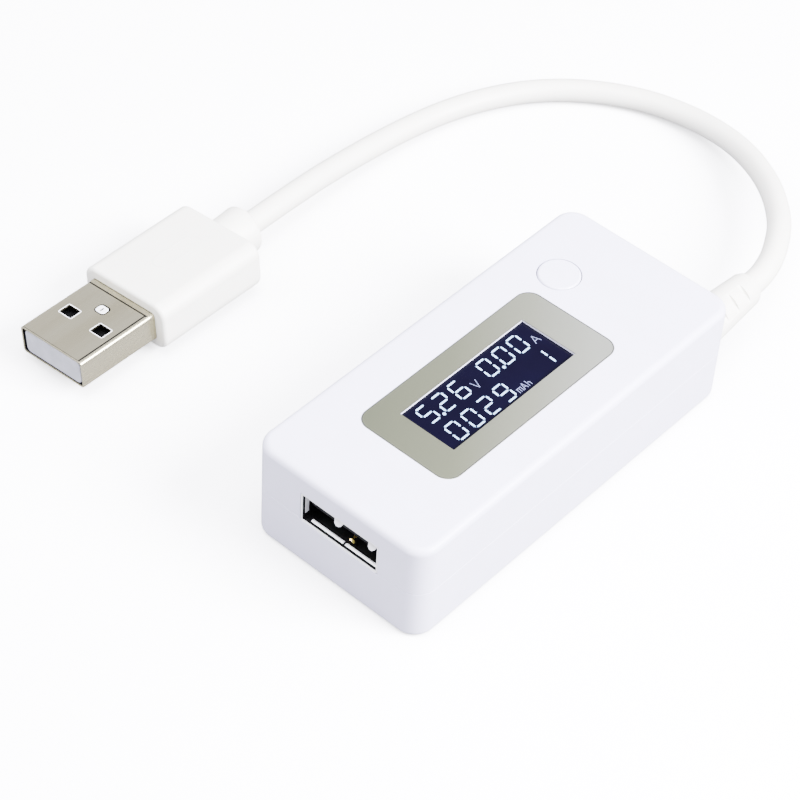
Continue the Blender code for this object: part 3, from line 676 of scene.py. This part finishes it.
def mouth_cut():
    """The rectangular mouth in the front wall, with softened corners."""
    half = (MOUTH_HALF, (MOUTH_HIGH - MOUTH_LOW) / 2)
    outline = rounded(MOUTH_X, (MOUTH_LOW + MOUTH_HIGH) / 2, half, MOUTH_CORNER, 4)
    return skin([upright(outline, y) for y in (-HALF_LENGTH - 1, -HALF_LENGTH + 4)])


def lead_cut():
    """The round hole in the rear wall."""
    outline = circle(RELIEF_X, RELIEF_Z, LEAD_HOLE, 48)
    return skin([upright(outline, y) for y in (HALF_LENGTH - 3, HALF_LENGTH + 1)])


def case_top():
    low = PARTING + PARTING_GAP
    profile = [
        (WALL, INNER_TOP),
        (WALL, LIP_TOP + LIP_GAP),
        (LIP_INSET - LIP_GAP, LIP_TOP + LIP_GAP),
        (LIP_INSET - LIP_GAP, low),
        *quarter((PARTING_EDGE, low + PARTING_EDGE), PARTING_EDGE, 270, 3),
        *quarter((TOP_EDGE, HEIGHT - TOP_EDGE), TOP_EDGE, 180, 8),
    ]
    shape = layered(profile, 0, 0, (HALF_WIDTH, HALF_LENGTH), CORNER, steps=CORNER_STEPS)
    recess = rounded(LABEL_X, LABEL_Y, inward(LABEL_HALF, -RECESS_GAP), LABEL_CORNER, 12)
    window_hole = rounded(WINDOW_X, WINDOW_Y, inward(WINDOW_HALF, -WINDOW_GAP), WINDOW_GAP, 3)
    button_hole = circle(BUTTON_X, BUTTON_Y, BUTTON_RADIUS + BUTTON_GAP)
    return piece(
        "case_top",
        shape,
        ABS_WHITE,
        cuts=(
            prism(recess, RECESS_FLOOR, CUT_TOP),
            prism(window_hole, CUT_FLOOR, CUT_TOP),
            prism(button_hole, CUT_FLOOR, CUT_TOP),
            mouth_cut(),
            lead_cut(),
        ),
        replaces=("upper_shell",),
    )


def case_bottom():
    high = PARTING - PARTING_GAP
    profile = [
        (WALL, WALL),
        (WALL, LIP_TOP),
        (LIP_INSET, LIP_TOP),
        (LIP_INSET, high),
        *quarter((PARTING_EDGE, high - PARTING_EDGE), PARTING_EDGE, 90, 3, turn=90),
        *quarter((BOTTOM_EDGE, BOTTOM_EDGE), BOTTOM_EDGE, 180, 6, turn=90),
    ]
    shape = layered(profile, 0, 0, (HALF_WIDTH, HALF_LENGTH), CORNER, steps=CORNER_STEPS)
    return piece(
        "case_bottom", shape, ABS_WHITE, cuts=(mouth_cut(), lead_cut()), replaces=("lower_shell",)
    )


def label_outline(inset):
    return rounded(LABEL_X, LABEL_Y, inward(LABEL_HALF, inset), LABEL_CORNER - inset, 12)


def framed(levels):
    """A flat frame whose outline is the label's and whose hole is the window's, from (inset, height) levels outside."""
    outer = [level(label_outline(inset), height) for inset, height in levels]
    hole = rounded(WINDOW_X, WINDOW_Y, WINDOW_HALF, WINDOW_CORNER, 12)
    inner = [level(hole, height) for height in (levels[-1][1], levels[0][1])]
    return skin(outer + inner, closed=True)


def label():
    """The foil plate, the bed under it and the printed line round it."""
    piece("label", framed(FOIL_LEVELS), FOIL_PAINTED_REFLECTION, replaces=("label_plate",))
    piece("label_bed", framed(BED_LEVELS), ABS_WHITE)
    wide, narrow = (label_outline(inset) for inset in INK_INSETS)
    line = [level(wide, INK_LOW), level(wide, INK_HIGH), level(narrow, INK_HIGH), level(narrow, INK_LOW)]
    piece("label_outline", skin(line, closed=True), LABEL_INK)


def window():
    profile = [
        (LENS_EDGE, LENS_FLOOR),
        (0, LENS_FLOOR + 0.1),
        (0, SCREEN_TOP - LENS_EDGE),
        (LENS_EDGE, SCREEN_TOP),
    ]
    lens = layered(profile, WINDOW_X, WINDOW_Y, inward(WINDOW_HALF, -LENS_MARGIN), 0.2, 0.1, 3)
    piece("display_lens", lens, LENS, replaces=("display_window",))


def button():
    """The cap, with the rim that holds it under the top."""
    profile = [
        (0, BUTTON_TOP),
        *quarter((BUTTON_RADIUS - BUTTON_EDGE, BUTTON_TOP - BUTTON_EDGE), BUTTON_EDGE, 90),
        (BUTTON_RADIUS, BUTTON_RIM_HIGH),
        (BUTTON_RIM, BUTTON_RIM_HIGH),
        (BUTTON_RIM, BUTTON_RIM_LOW),
        (0, BUTTON_RIM_LOW),
    ]
    shape = moved(spun(profile), Matrix.Translation((BUTTON_X, BUTTON_Y, 0)))
    piece("button_cap", shape, BUTTON_WHITE, body="button", replaces=("mode_button",))


# ---------------------------------------------------------------- display's digits

STROKE = 0.26
DIGIT_HALF = (0.90, 1.45)  # middle lines of the strokes, along Y and X
SEGMENT_GAP = 0.14
LEAN = 0.05
DIGIT_SHIFT = 0.11
PLATE_LOW, PLATE_HIGH = SCREEN_TOP - 0.02, SCREEN_TOP + 0.015
LIT = {
    "0": "abcdef",
    "1": "bc",
    "2": "abged",
    "5": "afgcd",
    "6": "afgedc",
    "9": "abcdfg",
}
DIGIT_ROWS = (  # how far down the display each row is, then each digit and how far along it is
    (-1.74, (("5", -12.35), ("2", -9.35), ("6", -6.33), ("0", -0.76), ("0", 2.32), ("0", 5.24))),
    (2.72, (("0", -11.94), ("0", -8.85), ("2", -5.78), ("9", -2.70))),
    (2.50, (("1", 5.45),)),
)
POINTS_ALONG = (-10.84, 0.80)
POINT_DOWN = -0.30
POINT_RADIUS = 0.24
UNIT_STROKE = 0.10
LETTER_V = ((-0.5, -0.7), (0, 0.7)), ((0.5, -0.7), (0, 0.7))
LETTER_A = ((0, -0.7), (-0.5, 0.7)), ((0, -0.7), (0.5, 0.7)), ((-0.3, 0.25), (0.3, 0.25))
CHARGE_LETTERS = (
    ((-1.2, 0.5), (-1.2, -0.25)),
    ((-0.85, 0.5), (-0.85, -0.25)),
    ((-0.5, 0.5), (-0.5, -0.25)),
    ((-1.28, -0.25), (-0.42, -0.25)),
    ((0.0, -0.6), (-0.3, 0.5)),
    ((0.0, -0.6), (0.35, 0.5)),
    ((-0.2, 0.15), (0.25, 0.15)),
    ((0.65, -0.6), (0.65, 0.5)),
    ((0.65, -0.1), (1.1, -0.1)),
    ((1.1, -0.1), (1.1, 0.5)),
)


def bar(start, end, width, pointed=True):
    """A flat bar from start to end in (along, down) coordinates. Its ends are pointed, as a segment's are, or flat."""
    start, end = Vector(start), Vector(end)
    run = (end - start).normalized()
    side = Vector((-run.y, run.x)) * width / 2
    if not pointed:
        return [start - side, end - side, end + side, start + side]
    tip = run * width / 2
    return [start, start + tip - side, end - tip - side, end, end - tip + side, start + tip + side]


def raised(outlines, along, down):
    """The outlines, in (along, down) about a middle on the display, as thin plates on the lens."""
    plates = []
    for outline in outlines:
        flat = [(down + v, along + u - LEAN * v + DIGIT_SHIFT) for u, v in outline]
        plates.append(prism(flat, PLATE_LOW, PLATE_HIGH))
    return plates


def digit(mark, along, down):
    """The lit segments of one digit."""
    u, v = DIGIT_HALF
    runs = {
        "a": ((-u, -v), (u, -v)),
        "b": ((u, -v), (u, 0)),
        "c": ((u, 0), (u, v)),
        "d": ((-u, v), (u, v)),
        "e": ((-u, 0), (-u, v)),
        "f": ((-u, -v), (-u, 0)),
        "g": ((-u, 0), (u, 0)),
    }
    outlines = []
    for segment in LIT[mark]:
        start, end = (Vector(point) for point in runs[segment])
        run = (end - start).normalized() * SEGMENT_GAP
        outlines.append(bar(start + run, end - run, STROKE))
    return raised(outlines, along, down)


def strokes(lines, along, down):
    """Letters of a unit, from straight strokes."""
    return raised([bar(start, end, UNIT_STROKE, pointed=False) for start, end in lines], along, down)


def digits():
    """Two rows of readings, the small 1 at the right, and the units."""
    bright = []
    for down, marks in DIGIT_ROWS:
        for mark, along in marks:
            bright += digit(mark, along, down)
    for along in POINTS_ALONG:
        bright += raised([circle(0, 0, POINT_RADIUS, 16)], along, POINT_DOWN)
    piece("display_digits", merged(*bright), SEGMENT)
    units = strokes(LETTER_V, -4.08, -0.85) + strokes(LETTER_A, 7.55, -0.8)
    piece("display_units", merged(*units), SEGMENT_DIM)
    piece("display_charge_unit", merged(*strokes(CHARGE_LETTERS, -0.02, 3.72)), SEGMENT_DIM)


# ---------------------------------------------------------------- socket


def socket_shell():
    """The sheet box: a frosted rim at the mouth and pressed lips inside the mouth, bright as painted highlights, and an
    inside painted near-black as painted shade.
    """
    middle_z = (SOCKET_LOW + SOCKET_HIGH) / 2
    half = (SOCKET_HALF, (SOCKET_HIGH - SOCKET_LOW) / 2)
    outer = rounded(MOUTH_X, middle_z, half, SOCKET_CORNER, 6)
    soft = rounded(MOUTH_X, middle_z, inward(half, SOCKET_EDGE), SOCKET_CORNER - SOCKET_EDGE, 6)
    inner = rounded(MOUTH_X, middle_z, inward(half, SHEET), 0.15, 6)
    back = rounded(MOUTH_X, middle_z, inward(half, 0.05), 0.2, 6)
    rim_rear = SOCKET_FRONT + RIM_DEPTH
    box_front = rim_rear + 0.02
    box_rear = SOCKET_REAR - 0.4

    def loop(*rows):
        return skin([upright(outline, y) for outline, y in rows], closed=True)

    rim = loop(
        (inner, rim_rear),
        (inner, SOCKET_FRONT + 0.05),
        (soft, SOCKET_FRONT),
        (outer, SOCKET_FRONT + SOCKET_EDGE),
        (outer, rim_rear),
    )
    # The rim: bright tin, a painted highlight
    piece("socket_rim", rim, TIN_PAINTED_HIGHLIGHT)
    tube = merged(
        loop((inner, box_front), (outer, box_front), (outer, box_rear), (inner, box_rear)),
        skin([upright(back, y) for y in (SOCKET_REAR - SHEET, SOCKET_REAR)]),
    )
    # The box's inside: near-black, painted shade
    piece("socket_box", tube, TIN_PAINTED_SHADE, replaces=("socket_shell",))

    floor_z = SOCKET_LOW + SHEET
    path = [(SOCKET_FRONT + y, floor_z + z) for y, z in LIP_PATH]
    lips = [sheet(path, LIP_SHEET, MOUTH_X + start, MOUTH_X + end) for start, end in LIP_SPANS]
    wall = MOUTH_X - SOCKET_HALF + SHEET
    side_low = (wall, SOCKET_FRONT + 0.55, floor_z + 0.75)
    side_high = (wall + LIP_SHEET, SOCKET_FRONT + 1.2, SOCKET_HIGH - SHEET)
    lips.append(box(side_low, side_high, 0.04, 2))
    # The lips: bright tin, a painted highlight
    piece("socket_lips", merged(*lips), TIN_PAINTED_HIGHLIGHT)


def spring_tabs():
    """The two tongues of sheet that lean in from the socket's top, in bright tin as painted highlights."""
    top = SOCKET_HIGH - SHEET
    tabs = []
    for place, width, drop in SPRING_TABS:
        half = width / 2
        outline = [(half * a, drop * b) for a, b in TAB_OUTLINE]
        tab = skin(
            [
                [
                    (MOUTH_X + place + a, SOCKET_FRONT + TAB_FRONT + depth + (drop + b) * TAB_LEAN, top + b)
                    for a, b in outline
                ]
                for depth in (0, TAB_SHEET)
            ]
        )
        ends = [[v.co.z for v in e.verts] for e in tab.edges]
        softened = [e for e, (a, b) in zip(tab.edges, ends) if abs(a - b) > 0.01 or a < top - 0.5]
        soften(tab, softened, 0.05, 2)
        tabs.append(tab)
    piece("socket_spring_tabs", merged(*tabs), TIN_PAINTED_HIGHLIGHT)


def frame_box(node):
    """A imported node's two corners, in millimetres."""
    low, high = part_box(node)
    return low / MM, high / MM


def usb_socket():
    socket_shell()
    spring_tabs()

    front, rear = (corner.y for corner in frame_box("socket_tongue"))
    block_low = (MOUTH_X - BLOCK_HALF, rear - 2.4, SOCKET_LOW + 0.4)
    block_high = (MOUTH_X + BLOCK_HALF, rear, SOCKET_HIGH - 0.4)
    tongue_low = (MOUTH_X - TONGUE_HALF, front + 0.1, TONGUE_LOW)
    tongue_high = (MOUTH_X + TONGUE_HALF, rear - 2.0, TONGUE_HIGH)
    tongue = merged(box(tongue_low, tongue_high, 0.15, 3), box(block_low, block_high, 0.1, 2))
    piece("socket_tongue_body", tongue, NYLON_BLACK, replaces=("socket_tongue",))

    # Matt gold spot on that contact's tip: a painted glint
    piece("socket_contact_painted_glint", box(*GLINT_SPOT, 0.1, 3), GOLD_PAINTED_GLINT)
    springs = []
    for number, place in enumerate(CONTACT_PLACES):
        path, half = (GLINT_CONTACT_PATH, GLINT_CONTACT_HALF) if number == GLINT_CONTACT else (CONTACT_PATH, CONTACT_HALF)
        springs.append(sheet(path, CONTACT_SHEET, MOUTH_X + place - half, MOUTH_X + place + half))
    piece(
        "socket_spring_contacts",
        merged(*springs),
        GOLD,
        replaces=tuple(f"socket_contact_{number}" for number in range(1, 5)),
    )


# ---------------------------------------------------------------- lead


def smooth_route(points, share):
    """A Catmull-Rom curve through points, with share steps between each two."""
    points = [Vector(p) for p in points]
    ends = [2 * points[0] - points[1], *points, 2 * points[-1] - points[-2]]
    fine = []
    for a, b, c, d in zip(ends, ends[1:], ends[2:], ends[3:]):
        for step in range(share):
            t = step / share
            fine.append(
                0.5 * (2 * b + (c - a) * t + (2 * a - 5 * b + 4 * c - d) * t**2 + (3 * b - a - 3 * c + d) * t**3)
            )
    fine.append(points[-1])
    return fine


def lead():
    """The lead's jacket as one curve from the case to the plug. Returns it and its length in metres."""
    route = smooth_route(CORD_ROUTE, 8)[::-1]
    data = bpy.data.curves.new("lead", "CURVE")
    data.dimensions = "3D"
    data.bevel_depth = CORD_DIAMETER / 2 * MM
    data.bevel_resolution = 10
    data.use_fill_caps = True
    spline = data.splines.new("POLY")
    spline.points.add(len(route) - 1)
    for target, point in zip(spline.points, route):
        target.co = (*(point * MM), 1)
    spline.use_smooth = True
    data.materials.append(PVC_WHITE)
    made = bpy.data.objects.new("lead", data)
    bpy.context.scene.collection.objects.link(made)
    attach(made, "case")
    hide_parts("cord")
    return made, sum((b - a).length for a, b in zip(route, route[1:])) * MM


def strain_relief():
    """Moulded sleeve with three pairs of slots. It is built upright and laid along +Y."""
    flange, flange_front, flange_rear = SLEEVE_FLANGE
    profile = [
        (0, flange_front),
        (flange, flange_front),
        (flange, flange_rear),
        (SLEEVE_NECK, flange_rear),
        (SLEEVE_NECK, SLEEVE_START - 0.15),
        (SLEEVE_RADIUS - 0.15, SLEEVE_START - 0.15),
        (SLEEVE_RADIUS, SLEEVE_START),
        *[
            (SLEEVE_RADIUS - SLEEVE_TAPER * share, SLEEVE_START + SLEEVE_RUN * share)
            for share in (0.25, 0.5, 0.75, 0.98)
        ],
        (SLEEVE_RADIUS - 1.0, SLEEVE_END),
        (0, SLEEVE_END),
    ]
    middle = Matrix.Translation((RELIEF_X, 0, RELIEF_Z))
    slots = []
    for distance in SLOT_PLACES:
        depth = SLEEVE_RADIUS - SLEEVE_TAPER * distance / SLEEVE_RUN - SLOT_DEPTH
        front, rear = HALF_LENGTH + distance - SLOT_HALF, HALF_LENGTH + distance + SLOT_HALF
        for low_z, high_z in ((-SLOT_REACH, -depth), (depth, SLOT_REACH)):
            slot = box((-SLOT_REACH, front, low_z), (SLOT_REACH, rear, high_z), SLOT_EDGE, 3)
            slots.append(moved(moved(slot, Matrix.Rotation(math.radians(SLOT_TURN), 4, "Y")), middle))
    sleeve = moved(spun(profile), middle @ Matrix.Rotation(math.radians(-90), 4, "X"))
    piece("lead_sleeve", sleeve, PVC_WHITE, cuts=slots, replaces=("strain_relief",))


# ---------------------------------------------------------------- plug


def plug_shell():
    """The sheet-metal shell with its two latch holes, its pressed tab and step, bright tin rims as painted highlights,
    and near-black strips of painted shade and painted dark reflection.
    """
    half = PLUG_HALF
    inner_line = rounded(0, 0, inward(half, SHEET), PLUG_CORNER - SHEET, 8)
    soft_line = rounded(0, 0, inward(half, PLUG_EDGE), PLUG_CORNER - PLUG_EDGE, 8)
    outer_line = rounded(0, 0, half, PLUG_CORNER, 8)
    rings = [
        upright(inner_line, 0.03),
        upright(soft_line, 0),
        upright(outer_line, PLUG_EDGE),
        upright(outer_line, PLUG_LENGTH),
        upright(inner_line, PLUG_LENGTH),
    ]
    top = half[1]
    holes = []
    rims = []
    for x in (-HOLE_X, HOLE_X):
        holes.append(moved(prism(rounded(x, HOLE_Y, HOLE_HALF, HOLE_CORNER, 4), -4, 4), PLUG_PLACE))
        rows = [
            level(rounded(x, HOLE_Y, inward(HOLE_HALF, -grow), HOLE_CORNER + grow, 4), top + rise)
            for grow, rise in HOLE_RIM
        ]
        rims.append(skin(rows, closed=True))
    metal = piece(
        "plug_metal",
        moved(skin(rings, closed=True), PLUG_PLACE),
        NICKEL,
        cuts=holes,
        replaces=("plug_shell",),
    )

    # A pressed tab on the middle line, with a painted shade line round it
    dome = [
        level(rounded(-0.02, 9.36, (0.98 - inset, 0.84 - inset), 0.6 - inset, 8), top + rise)
        for inset, rise in TAB_DOME
    ]
    rims.append(skin(dome))
    lines = [prism(rounded(0, 9.4, (1.02, 0.9), 0.6, 8), top - 0.05, top + TAB_SHADE_LINE)]
    for low, high, edge in SHADE_LINE_BOXES:
        lines.append(box((*low[:2], top + low[2]), (*high[:2], top + high[2]), edge, 1))
    # The step in the sheet by the grip, open at its ends
    band = skin([upright(rounded(0, 0, inward(half, inset), PLUG_CORNER, 8), y) for inset, y in STEP_BAND])
    bmesh.ops.delete(band, geom=[f for f in band.faces if len(f.verts) > 4], context="FACES")
    return [
        # Rims round the holes and the pressed tab: bright tin, a painted highlight
        piece("plug_painted_highlight_rims", moved(merged(*rims), PLUG_PLACE), TIN_PAINTED_HIGHLIGHT),
        # Near-black strips: painted shade and painted dark reflection
        piece("plug_painted_shade_strips", moved(merged(*lines), PLUG_PLACE), SHADE_LINE_BLACK),
        piece("plug_step", moved(band, PLUG_PLACE), NICKEL),
        metal,
    ]


def plug_core():
    """The insulator, lavender-white darkened with painted shade, with a tall round-cornered nose, a near-black block,
    backing and lining as painted shade behind and round it, and the contacts.
    """
    nose_half = (NOSE_HALF, (NOSE_TOP - CORE_LOW) / 2)
    nose_outline = rounded(0, (CORE_LOW + NOSE_TOP) / 2, nose_half, NOSE_CORNER, 8)
    nose = skin([upright(nose_outline, y) for y in (NOSE_FRONT, NOSE_REAR)])
    soften(nose, [e for e in nose.edges if all(abs(v.co.y - NOSE_FRONT) < 1e-6 for v in e.verts)], NOSE_EDGE, 3)
    bed = box((-CORE_HALF, 1.0, CORE_LOW), (CORE_HALF, 17.6, CORE_LOW + CORE_THICK), 0.05, 2)
    # The insulator's grey is painted shade of its recess
    core = piece(
        "plug_insulator_body",
        moved(merged(nose, bed), PLUG_PLACE),
        LCP_SHADED,
        replaces=("plug_insulator",),
    )
    inner = inward(PLUG_HALF, SHEET)
    # Near-black block, backing and lining: painted shade seen through the latch holes and in the gaps round the nose
    dark = box((-CORE_HALF, 4.4, CORE_LOW + CORE_THICK + 0.03), (CORE_HALF, 17.5, 0.9), 0.1, 2)
    backing = skin([upright(rounded(0, 0, inward(inner, 0.01), 0.28, 6), y) for y in (0.42, 1.25)])
    lining = skin(
        [
            upright(rounded(0, 0, inward(inner, inset), 0.29 - inset, 6), y)
            for inset, y in ((0.005, 0.06), (0.005, 0.6), (0.025, 0.6), (0.025, 0.06))
        ],
        closed=True,
    )
    shade_filler = piece("plug_painted_shade_filler", moved(merged(dark, backing, lining), PLUG_PLACE), NYLON_BLACK)
    low_z, high_z = CORE_LOW + CORE_THICK - 0.05, CORE_LOW + CORE_THICK + 0.1
    bars = [
        box((x - BAR_HALF, BAR_FRONT, low_z), (x + BAR_HALF, BAR_REAR, high_z), 0.06, 2) for x in CONTACT_PLACES
    ]
    contacts = piece(
        "plug_contact_bars",
        moved(merged(*bars), PLUG_PLACE),
        GOLD,
        replaces=tuple(f"plug_contact_{number}" for number in range(1, 5)),
    )
    return [core, shade_filler, contacts]


def plug_grip():
    """The moulded grip, with softened ends, a collar behind it and a plain oval ridge for the thumb."""
    front_edge = quarter((GRIP_FRONT_EDGE, GRIP_FRONT + GRIP_FRONT_EDGE), GRIP_FRONT_EDGE, 270, 5)
    rear_edge = quarter((GRIP_REAR_EDGE, GRIP_REAR - GRIP_REAR_EDGE), GRIP_REAR_EDGE, 180)
    rings = [
        upright(rounded(0, 0, inward(GRIP_HALF, inset), GRIP_CORNER - inset * 0.5, 12), y)
        for inset, y in front_edge + rear_edge
    ]
    pocket = skin([upright(rounded(0, 0, POCKET_HALF, PLUG_CORNER, 6), y) for y in (POCKET_FRONT, POCKET_REAR)])
    body = piece(
        "grip_body",
        moved(skin(rings), PLUG_PLACE),
        PVC_WHITE,
        cuts=(moved(pocket, PLUG_PLACE),),
        replaces=("plug_grip",),
    )

    widest = NECK_PROFILE[-1][0]
    neck_edge = quarter((widest - NECK_EDGE, NECK_REAR - NECK_EDGE), NECK_EDGE, 0, turn=90)
    lay = PLUG_PLACE @ Matrix.Rotation(math.radians(-90), 4, "X")
    neck = moved(spun([*NECK_PROFILE, *neck_edge, (0, NECK_REAR)]), lay)
    collar = piece("grip_collar", neck, PVC_WHITE)

    wide, narrow = (
        rounded(0, RIDGE_Y, inward(RIDGE_HALF, inset), RIDGE_HALF[0] - inset, 12) for inset in (0, RIDGE_INSET)
    )
    high = GRIP_HALF[1] + RIDGE_RISE
    rings = [level(wide, RIDGE_LOW), level(wide, high), level(narrow, high), level(narrow, RIDGE_LOW)]
    ridge = piece("grip_thumb_ridge", moved(skin(rings, closed=True), PLUG_PLACE), PVC_WHITE)
    return [body, collar, ridge]


# ---------------------------------------------------------------- stage

FLOOR_HALF = 1500
FLOOR_DROP = 0.02
FLOOR_CODES = ("FBFBFC", "FFFFFF")
FLOOR_GLOW = 1.6  # added to what the camera sees of the floor, and not to its light
FLOOR_BOUNCE = "828284"  # the floor's colour for all rays but the camera's
WORLD_CODE = "F0F0FF"
WORLD_LEVEL = 2.15  # strength of the world as a light
WORLD_SEEN = 10.0  # its strength where the camera sees it
LIGHT_CODE = "FAF9FF"
LIGHTS = (  # name, place, what it is aimed at, size and watts
    ("key", (412, 143, 330), (0, 10, 0), 300, 38.0),
    ("overhead", (60, -60, 600), (0, 10, 0), 400, 16.1),
    ("front", (-242, -268, 414), (0, -10, 0), 260, 5.0),
)


def floor():
    """A pale sheet that runs out of sight under the meter."""
    shape = bmesh.new()
    bmesh.ops.create_grid(shape, x_segments=8, y_segments=8, size=FLOOR_HALF)
    bmesh.ops.translate(shape, vec=(0, 0, -FLOOR_DROP), verts=shape.verts)
    made = bpy.data.objects.new("floor", to_mesh(shape, "floor"))
    bpy.context.scene.collection.objects.link(made)
    look, tree, shader = blank("floor_paper_white")
    colour = ramp(tree, grain(tree, 60, 2.0), ((0.3, FLOOR_CODES[0]), (0.7, FLOOR_CODES[1])))
    seen = add(tree, "LightPath").outputs["Is Camera Ray"]
    shade = add(tree, "Mix", {"data_type": "RGBA"}, Factor=seen)
    shade.inputs[6].default_value = linear(FLOOR_BOUNCE)
    tree.links.new(colour, shade.inputs[7])
    tree.links.new(shade.outputs[2], shader.inputs["Base Color"])
    tree.links.new(colour, shader.inputs["Emission Color"])
    tree.links.new(between(tree, seen, 0.0, FLOOR_GLOW), shader.inputs["Emission Strength"])
    shader.inputs["Roughness"].default_value = 0.9
    shader.inputs["Specular IOR Level"].default_value = 0.0
    made.data.materials.append(look)


def soft_light(name, place, aim, side, power):
    """A square area light at place, turned to aim."""
    data = bpy.data.lights.new(name, "AREA")
    data.shape = "RECTANGLE"
    data.size = data.size_y = side * MM
    data.energy = power
    data.color = linear(LIGHT_CODE)[:3]
    light = bpy.data.objects.new(name, data)
    bpy.context.scene.collection.objects.link(light)
    run = Vector(aim) - Vector(place)
    turn = run.to_track_quat("-Z", "Y").to_matrix().to_4x4()
    light.matrix_world = Matrix.Translation(Vector(place) * MM) @ turn


def lights():
    world = bpy.data.worlds.new("studio")
    bpy.context.scene.world = world
    world.use_nodes = True
    tree = world.node_tree
    background = tree.nodes["Background"]
    background.inputs["Color"].default_value = linear(WORLD_CODE)
    seen = add(tree, "LightPath").outputs["Is Camera Ray"]
    tree.links.new(between(tree, seen, WORLD_LEVEL, WORLD_SEEN), background.inputs["Strength"])
    for light in LIGHTS:
        soft_light(*light)


def build():
    for name, look in CAD_LOOKS.items():
        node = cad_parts[name]
        node.data.materials.clear()
        node.data.materials.append(look)
    rope, length = lead()
    case_top()
    case_bottom()
    label()
    window()
    digits()
    button()
    usb_socket()
    strain_relief()
    plug_pieces = plug_shell() + plug_core() + plug_grip()
    floor()
    lights()


build()
